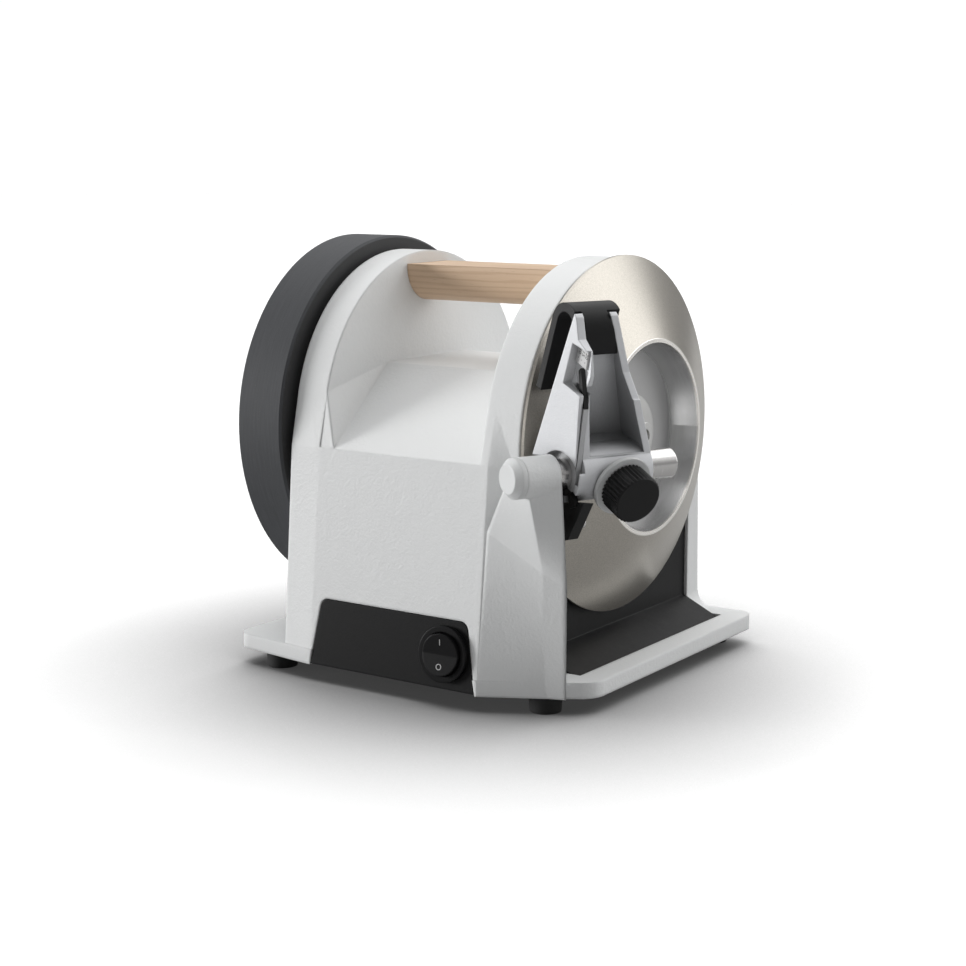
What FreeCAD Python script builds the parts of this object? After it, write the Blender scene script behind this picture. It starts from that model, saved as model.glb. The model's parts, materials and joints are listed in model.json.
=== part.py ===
"""Bench knife sharpener: conical diamond wheel, honing wheel, geared motor and an adjustable knife guide.

Frame: +X along the spindle towards the diamond wheel, -Y the front, +Z up.
The origin is on the floor under the middle of the whole part. Millimetres and degrees.
"""
import FreeCAD, Part
import math
import os
import re
import Sketcher
from FreeCAD import Placement, Rotation, Vector

doc = FreeCAD.newDocument("knife_sharpener")
sheet = doc.addObject("Spreadsheet::Sheet", "sizes")

SIZES = {
    # Spindle: where the diamond wheel's rim plane, the axis and the floor lie
    "wheel_plane_x": 46.7, "spindle_y": 10.0, "axis_height": 103.0,
    "spindle_radius": 7.5, "nose_radius": 6.0, "collar_radius": 10.5, "collar_width": 2.5,
    # Diamond wheel
    "wheel_radius": 75.0, "wheel_recess_radius": 41.0, "cone_depth": 15.6, "wheel_rim": 1.2,
    "wheel_wall": 5.0, "wheel_web": 4.2, "wheel_land": 1.5, "recess_floor_radius": 36.0,
    "washer_radius": 17.0, "washer_thickness": 3.0,
    # Honing wheel
    "honing_radius": 80.0, "honing_width": 24.0, "honing_recess_radius": 27.0, "honing_recess_depth": 9.0,
    "honing_chamfer": 1.0, "flange_radius": 24.0, "flange_thickness": 2.0,
    # Housing
    "foot_height": 7.0, "base_thickness": 6.5, "base_margin": 2.0, "tray_reach": 26.0,
    "front_reach": 86.0, "back_reach": 78.0, "left_sweep": 6.0, "right_sweep": 13.0, "corner_sweep": 24.0,
    "corner_radius": 7.0, "front_corner_radius": 11.0, "cheek_gap": 1.5, "wheel_space": 1.0,
    "left_cheek_radius": 74.0, "left_cheek_width": 15.5, "flat_edge": 4.0, "hood_corner": 7.5,
    "right_cheek_radius": 74.0, "right_cheek_width": 16.3, "body_length": 81.0, "honing_gap": 3.5,
    "knee_reach": 77.5, "knee_drop": 4.4, "roof_half": 30.0, "roof_rise": 27.0, "wall": 3.5,
    "root_radius": 7.0, "hub_radius": 24.0, "left_dish_radius": 67.0, "left_dish_depth": 10.0,
    "right_dish_radius": 67.0, "right_dish_depth": 11.5,
    # Front panel and switch
    "panel_height": 29.0, "panel_thickness": 2.5, "panel_margin": 3.5, "panel_flare": 5.0,
    "panel_centre": 1.5, "switch_margin": 10.0, "switch_height": 22.0, "bezel_radius": 11.5,
    "bezel_thickness": 2.4, "switch_radius": 9.8, "switch_depth": 18.0, "rocker_radius": 8.6,
    "rocker_rise": 2.2, "rocker_pin": 1.2, "rocker_pin_seat": 0.6,
    # Dust tray
    "tray_front": 56.0, "tray_back": 66.0, "tray_inset": 11.0, "tray_sheet": 1.2, "tray_drop": 9.5,
    "tray_wall_top": 25.0, "tray_wall_depth": 2.5, "tray_floor_height": 20.5,
    # Handle
    "handle_radius": 15.2, "handle_rise": 67.5, "handle_crown": 1.2, "handle_screw_depth": 20.0,
    # Fits
    "run_gap": 0.05, "fit_gap": 0.02, "seat_gap": 0.2,
    # Bearings
    "bearing_radius": 16.0, "bearing_width": 10.0, "bearing_ball": 2.6, "bearing_inset": 1.0,
    "race_thickness": 2.6,
    # Gears
    "gear_module": 1.2, "spindle_teeth": 36, "layshaft_teeth": 14, "fast_module": 1.0,
    "reduction_teeth": 40, "pinion_teeth": 12, "gear_width": 5.0, "pinion_width": 6.0, "wall_space": 1.0,
    "stage_space": 3.0, "gear_room": 16.0, "plate_thickness": 3.0, "plate_half": 36.0, "plate_low": 12.0,
    "plate_rise": 15.0, "plate_screw_half": 30.0, "plate_screw_inset": 6.0, "standoff_radius": 4.5,
    "idler_radius": 3.0, "idler_seat": 3.5,
    # Motor
    "motor_radius": 30.0, "can_wall": 1.4, "motor_length": 52.0, "cap_thickness": 4.0, "stack_length": 30.0,
    "stator_bore": 15.0, "air_gap": 0.5, "coil_length": 5.0, "coil_radius": 26.0, "motor_shaft_radius": 4.0,
    "bush_radius": 8.0, "shaft_tail": 3.0, "motor_screw_circle": 22.0, "motor_screw_length": 6.0,
    # Bottom cover, feet, electrics
    "cover_thickness": 2.0, "cover_screw_inset": 9.0, "cover_boss_radius": 5.0, "cover_boss_height": 14.0,
    "cover_front": 42.0, "foot_radius": 7.0, "foot_inset": 17.0, "foot_shift": 4.0, "foot_edge": 1.5,
    "gland_radius": 7.0, "gland_bore": 3.6, "gland_length": 12.0, "gland_height": 30.0,
    "capacitor_radius": 12.0, "capacitor_length": 40.0, "terminal_length": 30.0,
    # Screws
    "screw_radius": 2.0, "screw_head_radius": 3.6, "screw_head": 2.6, "screw_length": 9.0,
    # Knife guide: axle, post and boss
    "axle_offset": 16.0, "axle_drop": 4.5, "axle_radius": 6.0, "boss_radius": 8.0, "boss_front": 13.0,
    "boss_back": 2.0, "cap_length": 4.5, "axle_end": 58.0, "post_neck": 29.6, "neck_fall": 0.575,
    "stop_radius": 2.0, "stop_drop": 21.0, "stop_out": 4.2, "stop_end": 20.0, "stop_seat": 1.5,
    # Knife guide: body
    "guide_lean": 22.0, "guide_front": 8.0, "guide_back": 42.5, "cheek_slant": 5.5, "sleeve_wall": 2.4,
    "barrel_wall": 2.6, "blade_face": 15.0, "face_taper": 4.0, "guide_top": 63.0, "web_thickness": 4.0,
    "guide_cheek": 5.8, "cheek_top": 7.0, "rear_cheek": 3.2, "rear_top": 22.3, "pocket_floor": 10.0,
    "saddle": 54.8, "counterbore": 1.2,
    # Knife guide: lever, scale, clip, knob
    "lever_front": 8.3, "lever_thickness": 2.0, "lever_gap": 0.3, "pointer_top": 42.6, "foot_drop": 27.0,
    "foot_thickness": 4.6, "scale_thickness": 0.8, "blade_slot": 11.0, "clip_leg": 3.5, "clip_centre": 55.0,
    "clip_low": 25.0, "short_leg_low": 47.0, "clip_front": 4.5, "clip_back": 25.0, "notch_gap": 0.3,
    "knob_station": 27.5, "knob_radius": 10.1, "knob_length": 10.4, "knob_ribs": 36, "rib_depth": 0.7,
    "collar_plate_radius": 12.2, "collar_plate": 1.8, "knob_gap": 0.3, "knob_boss": 11.5,
    "knob_shaft_radius": 4.0, "cam_radius": 1.5, "cam_throw": 0.8, "cam_gap": 0.25,
}

for row, (alias, value) in enumerate(SIZES.items(), start=1):
    sheet.set(f"A{row}", alias)
    sheet.set(f"B{row}", str(value))
    sheet.setAlias(f"B{row}", alias)
doc.recompute()


def size(alias):
    """A driving dimension as a number."""
    return float(sheet.get(alias))


def formula_value(text):
    """A formula of aliases as a number, worked out by the sheet."""
    sheet.set("D1", f"={text}")
    doc.recompute()
    return float(sheet.get("D1"))


def bound(text):
    """A formula of aliases as an expression on the sheet."""
    return re.sub(r"[a-z][a-z0-9_]*", lambda m: f"sizes.{m[0]}" if m[0] in SIZES else m[0], str(text))


# Stations along X, from the diamond wheel's rim plane to the left
WHEEL_BACK = "(wheel_plane_x - wheel_rim)"
RIGHT_OUT = f"({WHEEL_BACK} - cheek_gap)"
RIGHT_IN = f"({RIGHT_OUT} - right_cheek_width)"
LEFT_IN = f"({RIGHT_IN} - body_length)"
LEFT_OUT = f"({LEFT_IN} - left_cheek_width)"
HONING_IN = f"({LEFT_OUT} - honing_gap)"
HONING_OUT = f"({HONING_IN} - honing_width)"
BASE_LEFT = f"({HONING_OUT} - base_margin)"
BASE_RIGHT = "(wheel_plane_x + tray_reach)"
BASE_FRONT = "(spindle_y - front_reach)"
BASE_BACK = "(spindle_y + back_reach)"
BASE_TOP = "(foot_height + base_thickness)"
COVER_TOP = "(foot_height + cover_thickness)"

# The same stations as numbers, for shapes made by formula
WHEEL_X, SPINDLE_Y, AXIS_Z = size("wheel_plane_x"), size("spindle_y"), size("axis_height")
RIGHT_OUT_X = WHEEL_X - size("wheel_rim") - size("cheek_gap")
RIGHT_IN_X = RIGHT_OUT_X - size("right_cheek_width")
LEFT_IN_X = RIGHT_IN_X - size("body_length")
LEFT_OUT_X = LEFT_IN_X - size("left_cheek_width")
HONING_IN_X = LEFT_OUT_X - size("honing_gap")
HONING_OUT_X = HONING_IN_X - size("honing_width")
BASE_LOW_Z = size("foot_height")
BASE_TOP_Z = BASE_LOW_Z + size("base_thickness")
COVER_TOP_Z = BASE_LOW_Z + size("cover_thickness")
FRONT_Y = SPINDLE_Y - size("front_reach")
BACK_Y = SPINDLE_Y + size("back_reach")

# Distances between gear axes, which lie one above the other
LAYSHAFT_DROP = size("gear_module") * (size("spindle_teeth") + size("layshaft_teeth")) / 2
MOTOR_DROP = LAYSHAFT_DROP + size("fast_module") * (size("reduction_teeth") + size("pinion_teeth")) / 2
LAYSHAFT_Z = AXIS_Z - LAYSHAFT_DROP
MOTOR_Z = AXIS_Z - MOTOR_DROP
PLATE_RIGHT_X = RIGHT_IN_X - size("gear_room")
PLATE_LEFT_X = PLATE_RIGHT_X - size("plate_thickness")

nodes = []


def node(item, label):
    """Names a finished sub-part."""
    item.Label = label
    nodes.append(item)
    return item


def feature(label, shape):
    """A sub-part whose shape is worked out here."""
    item = doc.addObject("Part::Feature", label)
    item.Shape = shape
    return node(item, label)


def new_body(name):
    return doc.addObject("PartDesign::Body", name)


def sketch_on(body, plane, offset):
    """An empty sketch parallel to one of the body's own planes, offset along +X, +Y or +Z."""
    sketch = body.newObject("Sketcher::SketchObject", "Outline")
    support = [item for item in body.Origin.OriginFeatures if item.Role == plane]
    sketch.AttachmentSupport = [(support[0], "")]
    sketch.MapMode = "FlatFace"
    sign = "-" if plane == "XZ_Plane" else ""
    sketch.setExpression("AttachmentOffset.Base.z", bound(f"{sign}({offset})"))
    return sketch


def pin_point(sketch, geometry, position, point):
    """Holds a sketch point at a pair of formulas."""
    for kind, formula in zip(("DistanceX", "DistanceY"), point):
        index = sketch.addConstraint(Sketcher.Constraint(kind, -1, 1, geometry, position, 1.0))
        sketch.setExpression(f"Constraints[{index}]", bound(formula))


def polygon(body, plane, offset, points):
    """A closed outline of straight lines."""
    sketch = sketch_on(body, plane, offset)
    count = len(points)
    corners = [Vector(math.cos(2 * math.pi * i / count), math.sin(2 * math.pi * i / count), 0)
               for i in range(count)]
    for i in range(count):
        sketch.addGeometry(Part.LineSegment(corners[i], corners[(i + 1) % count]), False)
    for i in range(count):
        sketch.addConstraint(Sketcher.Constraint("Coincident", i, 2, (i + 1) % count, 1))
    for i, point in enumerate(points):
        pin_point(sketch, i, 1, point)
    return sketch


def circle(body, plane, offset, centre, radius):
    """A circle with its centre and radius on the sheet."""
    sketch = sketch_on(body, plane, offset)
    sketch.addGeometry(Part.Circle(Vector(0, 0, 0), Vector(0, 0, 1), 1.0), False)
    pin_point(sketch, 0, 3, centre)
    index = sketch.addConstraint(Sketcher.Constraint("Radius", 0, 1.0))
    sketch.setExpression(f"Constraints[{index}]", bound(radius))
    return sketch


def pad(body, sketch, length):
    """Adds material from the sketch towards the positive axis."""
    item = body.newObject("PartDesign::Pad", "Pad")
    item.Profile = sketch
    item.setExpression("Length", bound(length))
    item.Reversed = sketch.AttachmentSupport[0][0].Role == "XZ_Plane"
    return item


def ruled_loft(body, outlines):
    """Adds straight-ruled material through outlines of equal numbers of corners."""
    item = body.newObject("PartDesign::AdditiveLoft", "Loft")
    item.Profile = outlines[0]
    item.Sections = outlines[1:]
    item.Ruled = True
    return item


def pocket(body, sketch, length):
    """Takes material away from the sketch towards the positive axis."""
    item = body.newObject("PartDesign::Pocket", "Pocket")
    item.Profile = sketch
    item.setExpression("Length", bound(length))
    item.Reversed = sketch.AttachmentSupport[0][0].Role != "XZ_Plane"
    return item


def round_corners(body, base, corners, radius):
    """Rounds the upright edges of a slab at the given corners."""
    doc.recompute()
    spots = [tuple(formula_value(formula) for formula in corner) for corner in corners]
    names = []
    for index, edge in enumerate(base.Shape.Edges, start=1):
        middle = edge.CenterOfMass
        upright = abs(edge.tangentAt(edge.FirstParameter).z) > 0.99
        if upright and any(math.hypot(middle.x - x, middle.y - y) < 0.1 for x, y in spots):
            names.append(f"Edge{index}")
    item = body.newObject("PartDesign::Fillet", "Fillet")
    item.Base = (base, names)
    item.setExpression("Radius", bound(radius))
    return item


def move(item, point, turn=None):
    """Places an item at three formulas."""
    if turn:
        item.Placement = Placement(Vector(0, 0, 0), turn)
    for axis, formula in zip("xyz", point):
        item.setExpression(f"Placement.Base.{axis}", bound(formula))


def turned(label, points, centre=("wheel_plane_x", "spindle_y", "axis_height")):
    """A piece turned about an axis along X: points are (distance along X, radius)."""
    body = new_body(label)
    sketch = polygon(body, "XY_Plane", "0", points)
    item = body.newObject("PartDesign::Revolution", "Revolution")
    item.Profile = sketch
    item.ReferenceAxis = ([part for part in body.Origin.OriginFeatures if part.Role == "X_Axis"][0], [""])
    item.Angle = 360.0
    move(body, centre)
    return node(body, label)


def ring(start, end, inner, outer):
    """The section of a plain ring, for turned()."""
    return [(start, inner), (end, inner), (end, outer), (start, outer)]


def rod(name, radius, length, point, turn=None):
    """A plain cylinder along +Z, or turned; the point is three formulas or a worked-out vector."""
    item = doc.addObject("Part::Cylinder", name)
    item.setExpression("Radius", bound(radius))
    item.setExpression("Height", bound(length))
    if isinstance(point, Vector):
        item.Placement = Placement(point, turn or Rotation())
    else:
        move(item, point, turn)
    return item


def block(name, sides, point):
    """A plain box from its low corner."""
    item = doc.addObject("Part::Box", name)
    for side, formula in zip(("Length", "Width", "Height"), sides):
        item.setExpression(side, bound(formula))
    move(item, point)
    return item


def group(name, items):
    """Separate solids as one tool."""
    result = doc.addObject("Part::Compound", name)
    result.Links = items
    return result


def combined(kind, name, base, tools):
    """Fuses or cuts with one tool after the other."""
    for tool in tools:
        result = doc.addObject(kind, name)
        result.Base = base
        result.Tool = tool
        result.Refine = False
        base = result
    return base


def joined(name, items):
    return combined("Part::Fuse", name, items[0], items[1:])


def cut(name, base, tools):
    return combined("Part::Cut", name, base, tools)


ALONG_X = Rotation(Vector(0, 1, 0), 90)
ALONG_Y = Rotation(Vector(1, 0, 0), -90)
DOWN = Rotation(Vector(1, 0, 0), 180)
TO_LEFT = Rotation(Vector(0, 1, 0), -90)


def screw(length=None, head_radius=None):
    """A socket screw along +Z with its head's underside at the origin."""
    reach = length or size("screw_length")
    head = Part.makeCylinder(head_radius or size("screw_head_radius"), size("screw_head"))
    socket = Part.makeCylinder(size("screw_radius") * 0.7, size("screw_head"), Vector(0, 0, size("screw_head") / 2))
    shank = Part.makeCylinder(size("screw_radius"), reach, Vector(0, 0, -reach))
    return head.cut(socket).fuse(shank)


def screws(label, places, turn, **options):
    """Identical screws as one group of solids."""
    shapes = []
    for place in places:
        shape = screw(**options)
        shape.Placement = Placement(place, turn)
        shapes.append(shape)
    return feature(label, Part.makeCompound(shapes))


def screw_holes(name, places, turn, length=None):
    """Clear holes for the shanks of such a group."""
    reach = (length or size("screw_length")) + size("fit_gap")
    radius = size("screw_radius") + size("fit_gap")
    shapes = []
    for place in places:
        shape = Part.makeCylinder(radius, reach + size("screw_head"), Vector(0, 0, -reach))
        shape.Placement = Placement(place, turn)
        shapes.append(shape)
    item = doc.addObject("Part::Feature", name)
    item.Shape = Part.makeCompound(shapes)
    return item


# Guide frame: u runs along the axle, parallel to the wheel's cone; w points out of the cone
CONE_TURN = math.degrees(math.atan2(size("cone_depth"), size("wheel_radius") - size("wheel_recess_radius")))
PLAN_TURN = Rotation(Vector(0, 0, 1), -CONE_TURN)
LEAN_TURN = PLAN_TURN.multiply(Rotation(Vector(0, 1, 0), size("guide_lean")))
RIM_POINT = Vector(WHEEL_X, SPINDLE_Y - size("wheel_radius"), AXIS_Z)
AXLE_POINT = RIM_POINT + PLAN_TURN.multVec(Vector(size("axle_offset"), 0, -size("axle_drop")))
UPRIGHT = Placement(AXLE_POINT, PLAN_TURN)
LEANING = Placement(AXLE_POINT, LEAN_TURN)
ALONG_AXLE = PLAN_TURN.multiply(ALONG_Y)
AXLE_START = UPRIGHT.multVec(Vector(0, -size("boss_front"), 0))
STOP_START = LEANING.multVec(Vector(size("stop_out"), size("boss_back") - size("stop_seat"), -size("stop_drop")))

# Screw places that several pieces share
STANDOFFS = [Vector(PLATE_RIGHT_X, SPINDLE_Y + side * size("plate_screw_half"), height)
             for side in (-1, 1)
             for height in (size("plate_low") + size("plate_screw_inset"),
                            AXIS_Z + size("plate_rise") - size("plate_screw_inset"))]
HANDLE_Z = AXIS_Z + size("handle_rise") - size("handle_radius") / 2
HANDLE_LEFT = [Vector(LEFT_IN_X - (size("left_cheek_width") - size("left_dish_depth")), SPINDLE_Y, HANDLE_Z)]
HANDLE_RIGHT = [Vector(RIGHT_OUT_X - size("right_dish_depth"), SPINDLE_Y, HANDLE_Z)]
COVER_CORNERS = [Vector(x, y, COVER_TOP_Z)
                 for x in (LEFT_IN_X + size("cover_screw_inset"), RIGHT_IN_X - size("cover_screw_inset"))
                 for y in (FRONT_Y + size("cover_front"), BACK_Y - size("wall") - size("cover_screw_inset"))]
FOOT_LEFT_X = HONING_OUT_X + size("foot_inset")
FOOT_RIGHT_X = WHEEL_X + size("tray_reach") - size("foot_inset")
FOOT_BACK_Y = BACK_Y - size("foot_radius") - size("foot_edge")
FOOT_PLACES = [Vector(FOOT_LEFT_X, FRONT_Y + size("left_sweep") + size("foot_radius"), 0),
               Vector(FOOT_RIGHT_X - size("foot_shift"), FRONT_Y + size("right_sweep") + size("foot_radius"), 0),
               Vector(FOOT_LEFT_X, FOOT_BACK_Y, 0),
               Vector(FOOT_RIGHT_X, FOOT_BACK_Y, 0)]
MOTOR_SCREWS = [Vector(PLATE_RIGHT_X, SPINDLE_Y + size("motor_screw_circle") * math.cos(math.radians(angle)),
                       MOTOR_Z + size("motor_screw_circle") * math.sin(math.radians(angle)))
                for angle in (210, 270, 330)]
# The gland stands square on the leaning back wall
BACK_LEAN = math.degrees(math.atan2(size("back_reach") - 1 - size("knee_reach"),
                                    AXIS_Z - size("knee_drop") - BASE_LOW_Z))
GLAND_PLACE = Placement(Vector((LEFT_IN_X + RIGHT_IN_X) / 2,
                               BACK_Y - 1 - (size("gland_height") - BASE_LOW_Z) * math.tan(math.radians(BACK_LEAN)),
                               size("gland_height")), Rotation(Vector(1, 0, 0), BACK_LEAN))


def front_face(height):
    """Place along Y of the housing's leaning front at a height."""
    rise = (height - BASE_LOW_Z) / (AXIS_Z - size("knee_drop") - BASE_LOW_Z)
    return FRONT_Y + (size("front_reach") - size("knee_reach")) * rise


def guide_post():
    """The post under the boss: ruled faces between sections at the base, a sloping neck and the axle."""
    def section(points):
        return Part.makePolygon([Vector(*point) for point in points + points[:1]])

    def boss_corner(along, out):
        return tuple(UPRIGHT.multVec(Vector(out, along, 0)))

    half = size("boss_radius")
    front, back = -size("boss_front") + 1.5, size("boss_back")
    top = [boss_corner(front, -half), boss_corner(front, half / 2), boss_corner(back, half),
           boss_corner(back, -half)]
    edge_x, neck_z = RIGHT_IN_X + size("flat_edge"), AXIS_Z - size("post_neck")
    neck = [(edge_x + 1, front_face(neck_z)), (WHEEL_X + 10.8, SPINDLE_Y - 77.5), (WHEEL_X + 20.3, SPINDLE_Y - 75),
            (WHEEL_X - 6, SPINDLE_Y - 70)]
    neck = [(x, y, neck_z - size("neck_fall") * (x - edge_x)) for x, y in neck]
    low = [(edge_x, FRONT_Y), (WHEEL_X + 9.2, SPINDLE_Y - 72.6), (WHEEL_X + 17, SPINDLE_Y - 69.9),
           (WHEEL_X - 2, SPINDLE_Y - size("tray_front") - 1)]
    low = [(x, y, BASE_LOW_Z) for x, y in low]
    wheel_room = Part.makeCylinder(size("wheel_radius") + size("wheel_space"),
                                   size("cheek_gap") + size("wheel_rim"),
                                   Vector(RIGHT_OUT_X + size("cheek_gap") / 2, SPINDLE_Y, AXIS_Z), Vector(1, 0, 0))
    item = doc.addObject("Part::Feature", "post")
    item.Shape = Part.makeLoft([section(low), section(neck), section(top)], True, True).cut(wheel_room)
    return item


def upright_root():
    """Round fillet between the rear upright's outer face and the base."""
    corner = (RIGHT_OUT, "spindle_y + tray_back", BASE_TOP)
    length = "back_reach - tray_back - 1"
    solid = block("root_block", ("root_radius", length, "root_radius"), corner)
    hollow = rod("root_round", "root_radius", length,
                 (f"{RIGHT_OUT} + root_radius", corner[1], f"{BASE_TOP} + root_radius"), ALONG_Y)
    return cut("upright_root", solid, [hollow])


def housing():
    """The casting: base, two cheeks, hood and post in one piece, hollow underneath."""
    body = new_body("shell")
    base = [(BASE_LEFT, f"{BASE_FRONT} + left_sweep"), (LEFT_IN, BASE_FRONT),
            (f"{RIGHT_IN} + flat_edge", BASE_FRONT), ("wheel_plane_x + 9", f"{BASE_FRONT} + right_sweep"),
            (BASE_RIGHT, f"{BASE_FRONT} + corner_sweep"), (BASE_RIGHT, BASE_BACK), (BASE_LEFT, BASE_BACK)]
    slab = pad(body, polygon(body, "XY_Plane", "foot_height", base), "base_thickness")
    slab = round_corners(body, slab, base[3:5], "front_corner_radius")
    round_corners(body, slab, base[:1] + base[5:], "corner_radius")
    # Each cheek is a drum on a foot whose front is flush with the hood and swept back at the wheel
    knee = ("spindle_y - knee_reach", "axis_height - knee_drop")
    cheeks = ((LEFT_OUT, "left_cheek_radius", (("0", "left_sweep / 3"), ("left_cheek_width", "0"))),
              (RIGHT_IN, "right_cheek_radius",
               (("0", "0"), ("flat_edge", "0"), ("right_cheek_width", "right_sweep"))))
    for station, radius, sweeps in cheeks:
        # The rim leaves the drum a little above its axis and runs down into the front
        rim = (f"spindle_y - {radius} * 0.969", f"axis_height + {radius} * 0.247")
        outlines = []
        for reach, sweep in sweeps:
            upper = f"{knee[0]} + {sweep} * (knee_reach - {radius} + 1) / right_sweep"
            outlines.append(polygon(body, "YZ_Plane", f"{station} + {reach}",
                                    [(f"{BASE_FRONT} + {sweep}", "foot_height"),
                                     (f"{BASE_BACK} - 1", "foot_height"),
                                     (f"spindle_y + {radius}", "axis_height"), rim, (upper, knee[1])]))
        ruled_loft(body, outlines)
        pad(body, circle(body, "YZ_Plane", station, ("spindle_y", "axis_height"), radius), sweeps[-1][0])
    hood = [(BASE_FRONT, "foot_height"), ("spindle_y - knee_reach", "axis_height - knee_drop"),
            ("spindle_y - roof_half", "axis_height + roof_rise"),
            ("spindle_y + roof_half", "axis_height + roof_rise"),
            ("spindle_y + knee_reach", "axis_height - knee_drop"), (f"{BASE_BACK} - 1", "foot_height")]
    pad(body, polygon(body, "YZ_Plane", LEFT_IN, hood), "body_length")
    # The left cheek thickens towards the hood's lower edge
    corner = [hood[2], (f"{knee[0]} + 0.15", f"{knee[1]} - 1"),
              ("spindle_y - left_cheek_radius * 0.969", "axis_height + left_cheek_radius * 0.247")]
    tip = [(f"{knee[0]} + 1.2", knee[1]), (f"{knee[0]} + 0.2", f"{knee[1]} - 0.6"),
           (f"{knee[0]} + 0.2", f"{knee[1]} + 0.3")]
    ruled_loft(body, [polygon(body, "YZ_Plane", LEFT_IN, corner),
                      polygon(body, "YZ_Plane", f"{LEFT_IN} + hood_corner", tip)])
    hollow = [(f"{BASE_FRONT} + wall", "foot_height"),
              ("spindle_y - knee_reach + wall", "axis_height - knee_drop - wall / 3"),
              ("spindle_y - roof_half + wall / 3", "axis_height + roof_rise - wall"),
              ("spindle_y + roof_half - wall / 3", "axis_height + roof_rise - wall"),
              ("spindle_y + knee_reach - wall", "axis_height - knee_drop - wall / 3"),
              (f"{BASE_BACK} - 1 - wall", "foot_height")]
    pocket(body, polygon(body, "YZ_Plane", LEFT_IN, hollow), "body_length")
    # Round dishes lighten the cheeks behind the wheels
    dishes = ((LEFT_OUT, "left_dish_radius", "left_dish_depth"),
              (f"{RIGHT_OUT} - right_dish_depth", "right_dish_radius", "right_dish_depth"))
    for station, radius, depth in dishes:
        pocket(body, circle(body, "YZ_Plane", station, ("spindle_y", "axis_height"), radius), depth)
        pad(body, circle(body, "YZ_Plane", station, ("spindle_y", "axis_height"), "hub_radius"), depth)
    # Bearing seats and the spindle's way through
    pocket(body, circle(body, "YZ_Plane", LEFT_OUT, ("spindle_y", "axis_height"), "spindle_radius + 1.5"),
           "left_cheek_width + body_length + right_cheek_width")
    seats = ((LEFT_OUT, "bearing_width + bearing_inset"),
             (f"{RIGHT_OUT} - bearing_width - bearing_inset", "bearing_width + bearing_inset"))
    for station, depth in seats:
        pocket(body, circle(body, "YZ_Plane", station, ("spindle_y", "axis_height"), "bearing_radius + fit_gap"),
               depth)
    # Recess for the tray's upright wall and its well in the base
    wall_front, wall_back = "spindle_y - tray_front", "spindle_y + tray_back"
    recess = [(wall_front, BASE_TOP), (wall_back, BASE_TOP), (wall_back, "axis_height - tray_wall_top"),
              (wall_front, "axis_height - tray_wall_top")]
    pocket(body, polygon(body, "YZ_Plane", f"{RIGHT_OUT} - tray_wall_depth", recess), "tray_wall_depth")
    well = [(f"{RIGHT_OUT} - tray_wall_depth", wall_front), (f"{BASE_RIGHT} - tray_inset", wall_front),
            (f"{BASE_RIGHT} - tray_inset", wall_back), (f"{RIGHT_OUT} - tray_wall_depth", wall_back)]
    pocket(body, polygon(body, "XY_Plane", f"{BASE_TOP} - base_thickness * 0.7", well), "base_thickness")

    boss = rod("boss", "boss_radius", "boss_front + boss_back", AXLE_START, ALONG_AXLE)
    standoffs = [rod(f"standoff_{i}", "standoff_radius", "gear_room + wall / 2", place, ALONG_X)
                 for i, place in enumerate(STANDOFFS)]
    columns = [rod(f"column_{i}", "cover_boss_radius", "cover_boss_height", place)
               for i, place in enumerate(COVER_CORNERS)]
    ribs = [block(f"rib_{i}", ("cover_screw_inset + wall / 2", "cover_boss_radius", "cover_boss_height"),
                  (place.x - (size("cover_screw_inset") + size("wall") / 2 if place.x < PANEL_X else 0),
                   place.y - size("cover_boss_radius") / 2, place.z))
            for i, place in enumerate(COVER_CORNERS)]
    whole = joined("casting", [body, guide_post(), boss, upright_root(), group("standoffs", standoffs),
                               group("columns", columns), group("ribs", ribs)])

    axle_hole = rod("axle_hole", "axle_radius + fit_gap", "boss_front + axle_end", AXLE_START, ALONG_AXLE)
    stop_hole = rod("stop_hole", "stop_radius + fit_gap", "stop_seat + stop_end", STOP_START, ALONG_AXLE)
    idler_hole = rod("idler_hole", "idler_radius + fit_gap", "idler_seat + 1",
                     (RIGHT_IN_X - 1, "spindle_y", LAYSHAFT_Z), ALONG_X)
    gland_start = GLAND_PLACE.multVec(Vector(0, -size("gland_length") + 2, 0))
    gland_hole = rod("gland_hole", "gland_radius + fit_gap", "gland_length", gland_start,
                     GLAND_PLACE.Rotation.multiply(ALONG_Y))
    foot_holes = screw_holes("foot_holes", [p + Vector(0, 0, BASE_LOW_Z / 2) for p in FOOT_PLACES], DOWN)
    plate_step, cover_step = Vector(size("plate_thickness"), 0, 0), Vector(0, 0, size("cover_thickness"))
    plate_holes = screw_holes("plate_holes", [place - plate_step for place in STANDOFFS], TO_LEFT)
    cover_holes = screw_holes("cover_holes", [place - cover_step for place in COVER_CORNERS], DOWN)
    handle_holes = screw_holes("handle_holes", HANDLE_LEFT, TO_LEFT)
    handle_holes_right = screw_holes("handle_holes_right", HANDLE_RIGHT, ALONG_X)
    holes = group("casting_holes", [axle_hole, stop_hole, idler_hole, gland_hole, foot_holes, plate_holes,
                                    cover_holes, handle_holes, handle_holes_right])
    return node(cut("housing_casting", whole, [panel_opening(), holes]), "housing")


# The front panel stands in the hood's leaning front face
LEAN = math.degrees(math.atan2(size("front_reach") - size("knee_reach"),
                               AXIS_Z - size("knee_drop") - BASE_LOW_Z))
PANEL_X = (LEFT_IN_X + RIGHT_IN_X) / 2 + size("panel_centre")
PANEL_HALF = size("body_length") / 2 - size("panel_margin")
SWITCH_LOCAL = Vector(PANEL_HALF - size("switch_margin"), size("switch_height") - BASE_LOW_Z, 0)
# Panel frame: x to the right, y up the face, z out of the face
PANEL_TURN = Rotation(Vector(1, 0, 0), 90 - LEAN)
PANEL_PLACE = Placement(Vector(PANEL_X, FRONT_Y, BASE_LOW_Z), PANEL_TURN)
SWITCH_PLACE = Placement(PANEL_PLACE.multVec(SWITCH_LOCAL), PANEL_TURN)


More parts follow.
